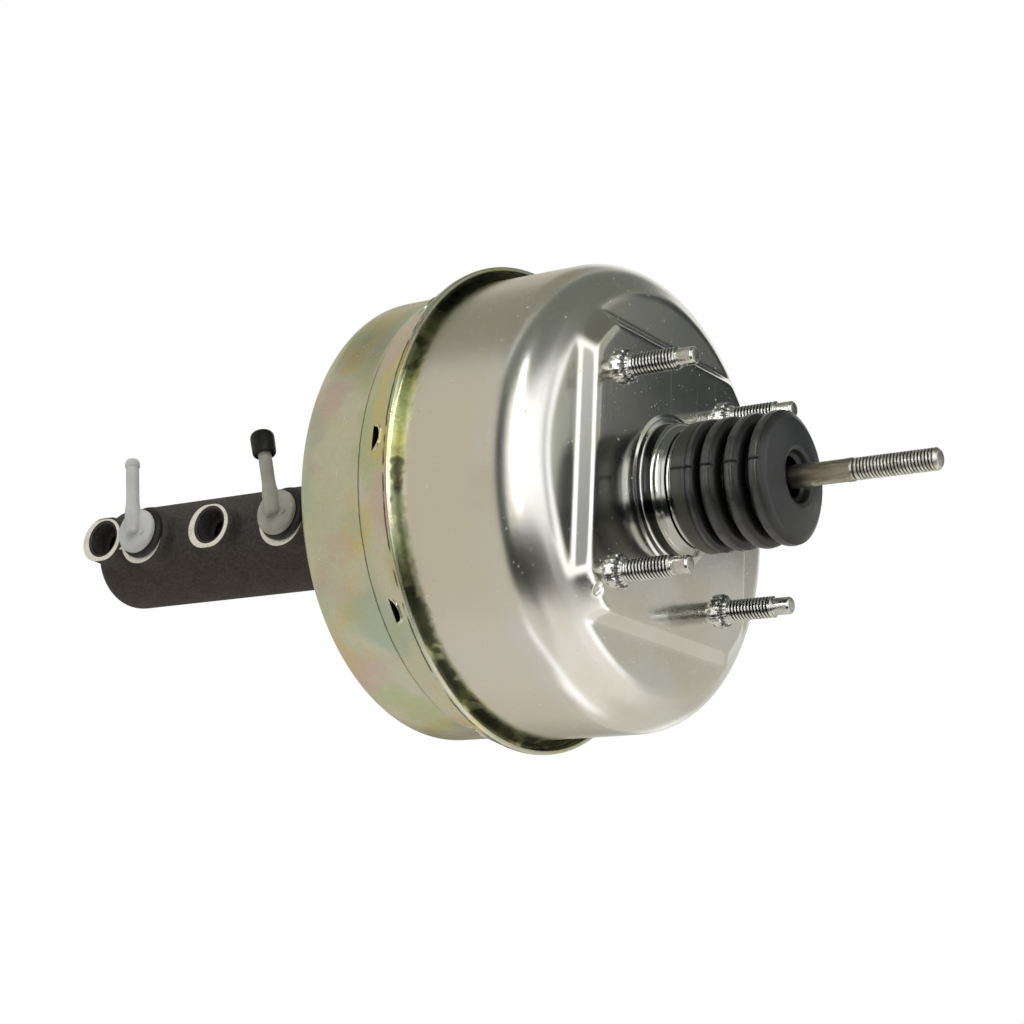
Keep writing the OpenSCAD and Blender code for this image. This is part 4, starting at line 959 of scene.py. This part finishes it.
PORTS = (-305.0, -235.8)
INLETS = (-278.7, -191.0)
PORT_FACE_R = 34.0
INLET_FACE_R = 33.0
LAND_X = -293.0
LAND_R = 33.2
FACE_DEPTH = 0.5
LAND_DEPTH = 0.9


def side(x, out):
    """Frame on the barrel's port side: Z points out of the barrel."""
    return Matrix.Rotation(BARREL_ROLL, 4, "X") @ shift(x, -out, 0) @ roll(90, "X")


def casting():
    """Casting skin: the barrel with its bosses, melted together and worn like sand cast metal."""
    source = nodes["mc_body"].data.copy()
    body = linked("cylinder", source)
    bm = bmesh.new()
    bm.from_mesh(source)
    bmesh.ops.remove_doubles(bm, verts=bm.verts, dist=1e-6)
    bm.to_mesh(source)
    bm.free()
    skin = body.modifiers.new("skin", "REMESH")
    skin.mode = "VOXEL"
    skin.voxel_size = 1.0 * MM
    melt = body.modifiers.new("melt", "SMOOTH")
    melt.factor = 0.5
    melt.iterations = 4
    settle(body)
    finished(body, cast_finish, "housing", "mc_body", 180.0)


casting()


def thickened(bm, depth):
    """Gives a flat face its depth, with its back at -depth."""
    bmesh.ops.solidify(bm, geom=bm.faces[:], thickness=depth)
    bmesh.ops.recalc_face_normals(bm, faces=bm.faces)
    lowest = min(v.co.z for v in bm.verts)
    return placed(bm, shift(0, 0, -lowest - depth))


def faced_ring(x, out, outer, inner, stretch, aside):
    """Machined face of a boss: a flat ring, round or drawn out, off centre, with broken edges."""
    bm = bmesh.new()
    bmesh.ops.create_circle(bm, segments=96, radius=outer)
    for v in bm.verts:
        v.co.x += (stretch if v.co.x > 0 else -stretch) + aside[0]
        v.co.y += aside[1]
    rim = bm.edges[:]
    hole = set(bmesh.ops.create_circle(bm, segments=96, radius=inner)["verts"])
    hole_edges = [e for e in bm.edges if e.verts[0] in hole and e.verts[1] in hole]
    bmesh.ops.bridge_loops(bm, edges=rim + hole_edges)
    bmesh.ops.recalc_face_normals(bm, faces=bm.faces)
    thickened(bm, FACE_DEPTH)
    edges = [e for e in bm.edges if len(e.link_faces) == 2 and e.calc_face_angle(0) > 1.0]
    bmesh.ops.bevel(bm, geom=edges, offset=0.14, offset_type="OFFSET", affect="EDGES", segments=2, profile=0.5,
                    material=-1)
    return placed(bm, side(x, out))


def joining_land():
    """Machined land that joins the front outlet's face to the front inlet's face."""
    bm = bmesh.new()
    bmesh.ops.create_grid(bm, x_segments=14, y_segments=2, size=0.5)
    for v in bm.verts:
        along = -2.7 + 9.7 * (v.co.x + 0.5)
        v.co = (along, 2 * v.co.y * (5.4 + 0.12 * along * along) - 0.8, 0)
    return placed(thickened(bm, LAND_DEPTH), side(LAND_X, LAND_R))


faces = [faced_ring(x, PORT_FACE_R, 10.7, 9.25, 1.6, (-0.7, -0.5)) for x in PORTS]
faces += [faced_ring(x, INLET_FACE_R, 13.0, 9.5, 0.0, (-1.2, -1.5)) for x in INLETS]
faces.append(joining_land())
finished(solid("boss_faces", gathered(faces)), face_finish, "housing", None, 25.0)


def port_thread(x):
    """Countersink and thread of an outlet port."""
    root = 7.5
    outline = [(16.9, 5.7), (22.8, 5.7), (22.9, 7.4)] + rows(23.2, 32.9, root, 0.16)
    outline += [(33.0, 7.55), (33.98, 9.2), (33.98, 9.6), (32.6, 9.6), (22.0, 8.6), (16.9, 6.4)]
    bm = turned(outline, 72)
    for v in bm.verts:
        r = off_axis(v)
        if abs(r - root) > 0.02:
            continue
        phase = (v.co.x / PORT_PITCH - around(v) / FULL) % 1.0
        widen(v, (r + 0.6 * (1 - abs(2 * phase - 1))) / r)
    return placed(bm, side(x, 0) @ UPRIGHT)


finished(solid("port_threads", gathered([port_thread(x) for x in PORTS])), port_thread_shade_finish, "housing", None,
         25.0)


def tube_seat(x):
    """Seat deep in an outlet port, with a cone for the pipe's flare."""
    bm = turned(shaped([
        (0, 1.6), (0, 5.76, 0.2), (2.4, 5.76, 0.2), (2.4, 4.6, 0.2), (5.8, 2.2, 0.3), (5.8, 1.6, 0.1)]), 64)
    return placed(bm, side(x, 17.0) @ UPRIGHT)


finished(solid("flare_seats", gathered([tube_seat(x) for x in PORTS])), brass_finish, "housing", "tube_seats",
         25.0)


def inlet_grommet(x):
    """Grommet pressed into an inlet, with a flat brim on its face."""
    bm = turned(shaped([
        (-14, 6.08, 0.3), (-14, 8.5, 0.4), (-12.5, 9.38, 0.3), (0, 9.38, 0.2), (0, 12.0, 0.3), (0.8, 12.3, 0.5),
        (2.2, 12.3, 0.9), (3.3, 11.0, 0.9), (3.5, 8.6, 0.4), (3.1, 7.6, 0.3), (3.1, 6.08, 0.2)]), 96)
    return placed(bm, side(x, INLET_FACE_R) @ UPRIGHT)


finished(solid("grommets", gathered([inlet_grommet(x) for x in INLETS])), black_finish, "housing",
         "inlet_grommets", 40.0)


FRONT_LEAN = -10.7
REAR_LEAN = -17.8
NIPPLE = shift(0, 0, 4.1) @ roll(-90, "X") @ UPRIGHT


def elbow_frame(x, lean):
    """Frame on a grommet's brim: Z points out of the barrel, and the nipple leans along X."""
    return Matrix.Rotation(BARREL_ROLL, 4, "X") @ shift(x, -36.5, 0) @ roll(lean, "Y") @ roll(90, "X")


def elbow(x, lean, tip):
    """Inlet elbow: stem, round head with a gate mark, upright hose nipple with a bead at its tip."""
    stem = turned(shaped([(-15, 2.6), (-15, 6.0, 0.5), (0.4, 6.0), (0.4, 2.6)]), 64)
    head = turned(shaped([
        (0.2, 0), (0.2, 10.4, 0.3), (0.7, 10.8, 0.5), (2.7, 10.8, 1.2), (4.0, 8.8, 1.4), (4.35, 4.5, 1.5),
        (4.4, 0)], closed=False, steps=6), 96, False)
    nipple = turned(shaped([
        (-2.6, 0), (-2.6, 3.3, 0.8), (-1.6, 3.95, 0.6), (9, 3.95, 1.8), (14, 3.2, 1.8), (tip - 4.4, 3.2, 0.6),
        (tip - 3.7, 3.65, 0.3), (tip - 1.6, 3.65, 0.7), (tip - 0.3, 2.95, 0.4), (tip, 2.6, 0.3), (tip, 1.9, 0.2),
        (30, 1.9), (6, 1.9), (5, 0)], closed=False, steps=5), 64, False)
    placed(nipple, NIPPLE)
    gate = turned(shaped([
        (4.1, 0), (4.1, 1.1), (4.75, 1.1, 0.2), (4.85, 0.8, 0.1), (4.85, 0)], closed=False), 24, False)
    placed(gate, shift(5.6, -2.8, 0) @ UPRIGHT)
    whole = gathered([placed(stem, UPRIGHT), placed(head, UPRIGHT), nipple, gate])
    return placed(whole, elbow_frame(x, lean))


front_inlet = solid("front_inlet", elbow(INLETS[0], FRONT_LEAN, 36.7))
rear_inlet = solid("rear_inlet", elbow(INLETS[1], REAR_LEAN, 40.2))
finished(front_inlet, clear_elbow_finish, "front_elbow", "front_elbow", 40.0)
finished(rear_inlet, grey_elbow_finish, "rear_elbow", "rear_elbow", 40.0)


def cap():
    """Rubber cap that closes the rear nipple."""
    bm = turned(shaped([
        (40.4, 0), (40.4, 3.0, 0.3), (38.4, 3.7, 0.3), (29.6, 3.7, 0.2), (29.6, 4.9, 0.3), (30.5, 5.55, 0.5),
        (35.6, 5.7, 2.0), (39.7, 5.7, 1.6), (41.3, 4.6, 1.4), (41.9, 2.2, 1.0), (41.9, 0)],
        closed=False, steps=6), 72, False)
    return placed(bm, elbow_frame(INLETS[1], REAR_LEAN) @ NIPPLE)


finished(solid("inlet_cap", cap()), cap_finish, "nipple_cap", "nipple_cap", 40.0)


def stop_plug():
    """Stop screw: washer and hexagon head under the barrel."""
    shank = turned([(0, 0), (0, 3.1), (12.4, 3.1), (12.4, 0)], 32, False)
    washer = turned(shaped([(12.0, 0), (12.0, 5, 0.2), (13.0, 5, 0.3), (13.0, 0)], closed=False), 64, False)
    head = turned(shaped([(13.0, 0), (13.0, 4.4, 0.1), (15.2, 4.4), (16.6, 4.4, 0.2), (17.2, 3.5, 0.2),
                          (17.2, 0)], closed=False), 96, False)
    plane_hexagon(head, 3.81)
    under_barrel = shift(-183, 0, 0) @ roll(-20, "X") @ roll(180, "X") @ shift(0, 0, 13.4)
    return placed(gathered([shank, washer, head]), under_barrel @ UPRIGHT)


finished(solid("stop_plug", stop_plug()), screw_finish, "housing", "stop_screw", 25.0)


def one_way_valve():
    """Vacuum check valve: welded round chamber with a hose nipple that points outwards."""
    x = -128.0
    chamber = turned(shaped([
        (x - 20, 0), (x - 20, 7.6, 0.8), (x - 18, 10, 0.9), (x - 14, 10), (x - 13.6, 9.7, 0.1),
        (x - 13, 9.7, 0.1), (x - 12.6, 10), (x - 9, 10, 0.3), (x - 9, 13, 0.4), (x - 6, 13, 0.4),
        (x - 6, 11, 0.3), (x, 11, 0.4), (x, 6.5, 0.2), (x + 13, 6.5, 0.3), (x + 14, 5.5, 0.3), (x + 14, 4),
        (x - 14, 4), (x - 15, 0)], closed=False), 96, False)
    nozzle = turned(shaped([
        (0, 5.5), (14, 5.5, 0.4), (15, 4.6, 0.4), (26.4, 4.6, 0.3), (27, 5.1, 0.3), (28.6, 5.1, 0.5),
        (31, 4.4, 0.4), (31, 2.8, 0.3), (3, 2.8), (0, 2.8)]), 64)
    placed(nozzle, shift(x - 12, 0, 0) @ roll(-50, "X") @ UPRIGHT)
    return placed(gathered([chamber, nozzle]), shift(0, CHECK_VALVE_Y, CHECK_VALVE_Z))


finished(solid("one_way_valve", one_way_valve()), valve_finish, "check_valve", "check_valve",
         35.0)


def valve_grommet():
    """Grommet that seats the check valve in the front drum."""
    x = FRONT_FACE_X
    bm = turned(shaped([
        (x - 3, 6.55, 0.3), (x - 3, 11.5, 0.6), (x - 2.2, 12.5, 0.6), (x - 0.1, 12.5, 0.2), (x - 0.1, 9.4, 0.1),
        (-120.6, 9.4, 0.3), (-119.6, 10.3, 0.4), (-117.2, 8.5, 0.3), (-117.2, 6.55, 0.2)]), 96)
    return placed(bm, shift(0, CHECK_VALVE_Y, CHECK_VALVE_Z))


finished(solid("valve_grommet", valve_grommet()), black_finish, "housing", "check_grommet", 40.0)


# Pieces that are carried over from model.glb: their finishes, and a mesh of its own for each spring

HIDDEN_PIECES = (
    (plate_finish, ("front_plate", "diaphragm_plate")),
    (diaphragm_finish, ("diaphragm",)),
    (resin_finish, ("valve_body",)),
    (felt_finish, ("air_filter", "air_silencer")),
    (stud_finish, ("adjuster_screw",)),
    (piston_finish, ("primary_piston", "secondary_piston")),
    (black_finish, ("rear_seal", "mc_seal_ring", "reaction_disc", "poppet", "primary_cups", "secondary_cups")),
    (spring_finish, ("return_spring", "snap_ring", "primary_spring", "secondary_spring", "poppet_spring",
                     "rod_spring")),
    (inner_finish, ("seal_retainer", "stop_washer", "valve_key", "output_rod", "output_retainer",
                    "poppet_retainer", "plunger", "spring_seat")),
)
for finish, names in HIDDEN_PIECES:
    for name in names:
        carried = nodes[name].data.materials
        carried.clear()
        carried.append(finish)

# Each spring's joint, its front and rear end, and how far forward each end goes at the joint's limit
SPRINGS = {
    "return_spring": ("booster_stroke", -120.1, -50.1, 0.0, 30.0),
    "primary_spring": ("booster_stroke", -237.9, -195.5, 15.0, 30.0),
    "secondary_spring": ("booster_stroke", -310.8, -282.3, 0.0, 15.0),
    "rod_spring": ("valve_travel", 4.3, 27.5, 0.0, 2.0),
}
for name, (joint, front, rear, front_travel, rear_travel) in SPRINGS.items():
    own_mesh(nodes[name])


# Reflections

# Soft panels round the object, seen only in its reflections: compass range, height range, soft edge, colour.
# The compass runs from +X towards +Y, in degrees.
PANELS = (
    ((-104, -60), (-60, 60), (6, 6), (232, 230, 222)),
    ((-235, -104), (-62, 46), (9, 9), (182, 176, 162)),
    ((-107, -82), (-50, 42), (5, 6), (50, 54, 52)),
    ((150, 215), (-80, -42), (8, 8), (186, 182, 174)),
    ((117, 136), (-30, 12), (4, 7), (124, 122, 110)),
    ((104, 240), (44, 90), (9, 9), (130, 127, 114)),
    ((-115, 104), (36, 90), (8, 6), (100, 103, 94)),
    ((22, 50), (38, 52), (8, 5), (96, 97, 88)),
    ((96, 120), (19, 40), (4, 4), (238, 236, 228)),
    ((28, 54), (-8, 37), (5, 6), (150, 154, 141)),
    ((46, 100), (-24, 14), (5, 4), (174, 172, 162)),
    ((-20, 100), (-90, -24), (5, 4), (216, 212, 202)),
    ((58, 126), (-52, -16), (6, 6), (188, 186, 176)),
    ((94, 124), (-8, 12), (3, 3), (202, 202, 197)),
    ((-120, -20), (-90, -48), (7, 7), (196, 192, 182)),
    ((54, 92), (12.7, 38), (3, 1.1), (46, 49, 49)),
    ((55, 94), (13.3, 15.7), (2.5, 0.7), (12, 13, 11)),
)
# Dark strip low on the near side: compass, height and half width along its middle, in degrees.
BAND = ((15, -21, 2), (8, -18.5, 4.5), (-3, -17, 9), (-20, -24, 13), (-37, -31, 15.5), (-60, -38, 17.5),
        (-92, -41, 14))
BAND_COLOUR = (15, 19, 19)
BAND_SOFT = 5.0
OPEN_LEVEL = 1.2
PANEL_GAIN = 1 / 0.92
CARD_LEVEL = (9.0, 9.0, 8.8, 1.0)


def direction(compass, height):
    a = math.radians(compass)
    e = math.radians(height)
    return Vector((math.cos(e) * math.cos(a), math.cos(e) * math.sin(a), math.sin(e)))


def panel_weight(compass, height, across, up, soft):
    middle = (across[0] + across[1]) / 2
    half = (across[1] - across[0]) / 2
    side_way = half - turn_between(compass, middle)
    up_way = min(height - up[0], up[1] - height)
    if up[1] >= 90:
        up_way = height - up[0]
    if up[0] <= -90:
        up_way = up[1] - height
    return ease(side_way / (2 * soft[0]) + 0.5) * ease(up_way / (2 * soft[1]) + 0.5)


def band_weight(where):
    """How far a direction lies in the dark strip, which is laid as close round spots."""
    best = 0.0
    for first, second in zip(BAND, BAND[1:]):
        for k in range(5):
            compass, height, half = [a + (b - a) * k / 4 for a, b in zip(first, second)]
            away = math.degrees(where.angle(direction(compass, height), 0))
            best = max(best, ease((half - away) / BAND_SOFT + 0.5))
    return best


def tent_colour(place):
    """Brightness of the tent in a direction: open white, then the panels, then the dark strip."""
    where = place.normalized()
    compass = math.degrees(math.atan2(where.y, where.x))
    height = math.degrees(math.asin(max(-1.0, min(1.0, where.z))))
    colour = Vector((OPEN_LEVEL, OPEN_LEVEL, OPEN_LEVEL))
    for across, up, soft, shade in PANELS:
        weight = panel_weight(compass, height, across, up, soft)
        if weight > 0:
            colour = colour.lerp(Vector(paint(*shade)[:3]) * PANEL_GAIN, weight)
    dark = band_weight(where)
    if dark > 0:
        colour = colour.lerp(Vector(paint(*BAND_COLOUR)[:3]), dark)
    return (colour.x, colour.y, colour.z, 1.0)


def flag_colour(place):
    """Grey that gets lighter upwards."""
    shade = 122 + 66 * (place.z + 0.042) / 0.116
    return paint(shade, shade + 2, shade)


def card_colour(place):
    return CARD_LEVEL


def reflected_only(name, bm, colour_at):
    """Sheet that shows in reflections and nowhere else, with a colour for each of its points."""
    mesh = mesh_of(name, bm)
    glow = mesh.color_attributes.new("glow", "FLOAT_COLOR", "POINT")
    for v in mesh.vertices:
        glow.data[v.index].color = colour_at(v.co)
    sheet = linked(name, mesh)
    material = bpy.data.materials.new(name + "_cloth")
    material.use_nodes = True
    tree = material.node_tree
    tree.nodes.clear()
    shade = tree.nodes.new("ShaderNodeVertexColor")
    shade.layer_name = "glow"
    light = tree.nodes.new("ShaderNodeEmission")
    output = tree.nodes.new("ShaderNodeOutputMaterial")
    tree.links.new(shade.outputs["Color"], light.inputs["Color"])
    tree.links.new(light.outputs["Emission"], output.inputs["Surface"])
    material.cycles.emission_sampling = "NONE"
    mesh.materials.append(material)
    sheet.visible_camera = False
    sheet.visible_diffuse = False
    sheet.visible_shadow = False
    sheet.visible_transmission = False
    sheet.visible_volume_scatter = False


def upright_grid():
    bm = bmesh.new()
    bmesh.ops.create_grid(bm, x_segments=2, y_segments=12, size=0.5)
    return bm


def light_tent():
    """Large sphere of soft panels."""
    bm = bmesh.new()
    bmesh.ops.create_uvsphere(bm, u_segments=240, v_segments=120, radius=3.0)
    reflected_only("light_tent", bm, tent_colour)


def grey_flag():
    """Narrow grey flag beside the studs, darker below, that keeps the pad's side slope off the white."""
    bm = upright_grid()
    for v in bm.verts:
        v.co = (0.060, -0.0745 + v.co.x * 0.0115, 0.016 + v.co.y * 0.116)
    reflected_only("grey_flag", bm, flag_colour)


def bright_card():
    """Tall bright card on the near side that draws thin highlights on the boot's folds."""
    bm = upright_grid()
    for v in bm.verts:
        v.co = (0.118 + v.co.x * 0.030, -0.300, 0.135 + v.co.y * 0.390)
    reflected_only("bright_card", bm, card_colour)


light_tent()
grey_flag()
bright_card()


# World, floor and lamp

def open_world():
    """White to the camera, in gloss and through clear parts, and a plain level for everything else."""
    world = bpy.data.worlds.new("studio")
    scene.world = world
    world.use_nodes = True
    tree = world.node_tree
    tree.nodes.clear()

    def larger(a, b):
        made = tree.nodes.new("ShaderNodeMath")
        made.operation = "MAXIMUM"
        tree.links.new(a, made.inputs[0])
        tree.links.new(b, made.inputs[1])
        return made.outputs[0]

    def level(value):
        made = tree.nodes.new("ShaderNodeBackground")
        made.inputs["Color"].default_value = (value, value, value, 1)
        return made.outputs[0]

    ray = tree.nodes.new("ShaderNodeLightPath").outputs
    seen = larger(larger(ray["Is Camera Ray"], ray["Is Glossy Ray"]), ray["Is Transmission Ray"])
    choice = tree.nodes.new("ShaderNodeMixShader")
    output = tree.nodes.new("ShaderNodeOutputWorld")
    tree.links.new(seen, choice.inputs["Fac"])
    tree.links.new(level(0.80), choice.inputs[1])
    tree.links.new(level(1.0), choice.inputs[2])
    tree.links.new(choice.outputs[0], output.inputs["Surface"])


open_world()


def studio_floor():
    bm = bmesh.new()
    bmesh.ops.create_grid(bm, x_segments=8, y_segments=8, size=9.0)
    placed(bm, shift(0, 0, -0.32))
    floor = linked("floor", mesh_of("floor", bm))
    surface = Finish("pale_floor", paint(238, 238, 236), 0.0, 0.8)
    surface.roughened(surface.span(surface.noise(60, 3), 0.3, 0.7, 0.74, 0.86))
    floor.data.materials.append(surface.material)
    floor.visible_glossy = False


studio_floor()


def key_lamp():
    """Soft lamp above the near side, left out of the reflections."""
    place = Vector((0.3, -1.0, 1.5))
    aim = Vector((-0.1, 0, 0))
    light = bpy.data.lights.new("key_lamp", "AREA")
    light.shape = "SQUARE"
    light.size = 0.9
    light.energy = 12
    lamp = linked("key_lamp", light)
    lamp.location = place
    lamp.rotation_euler = (aim - place).to_track_quat("-Z", "Y").to_euler()
    lamp.visible_glossy = False


key_lamp()


# Camera, as fitted to the photograph: angles in degrees, place in millimetres, focal length in pixels

CAMERA_AZIMUTH = 35.075
CAMERA_ELEVATION = -14.086
CAMERA_TILT = 2.495
CAMERA_BACK = 1005.376
CAMERA_RIGHT = -69.928
CAMERA_UP = -8.64
FOCAL_PIXELS = 2346.23
PHOTO_PIXELS = 1024.0
SENSOR = 36.0


def photograph_camera():
    """Camera at the photograph's place."""
    az = math.radians(CAMERA_AZIMUTH)
    el = math.radians(CAMERA_ELEVATION)
    tilt = math.radians(CAMERA_TILT)
    back = Vector((math.sin(az) * math.cos(el), -math.cos(az) * math.cos(el), math.sin(el)))
    level_right = Vector((0, 0, 1)).cross(back).normalized()
    level_up = back.cross(level_right)
    right = level_right * math.cos(tilt) + level_up * math.sin(tilt)
    up = level_up * math.cos(tilt) - level_right * math.sin(tilt)
    eye = bpy.data.cameras.new("camera")
    eye.sensor_width = SENSOR
    eye.lens = SENSOR * FOCAL_PIXELS / PHOTO_PIXELS
    eye.clip_start = 0.01
    eye.clip_end = 20.0
    camera = linked("camera", eye)
    place = (back * CAMERA_BACK + right * CAMERA_RIGHT + up * CAMERA_UP) * MM
    camera.matrix_world = Matrix.Translation(place) @ Matrix((right, up, back)).transposed().to_4x4()
    scene.camera = camera


photograph_camera()
scene.view_settings.view_transform = "Standard"
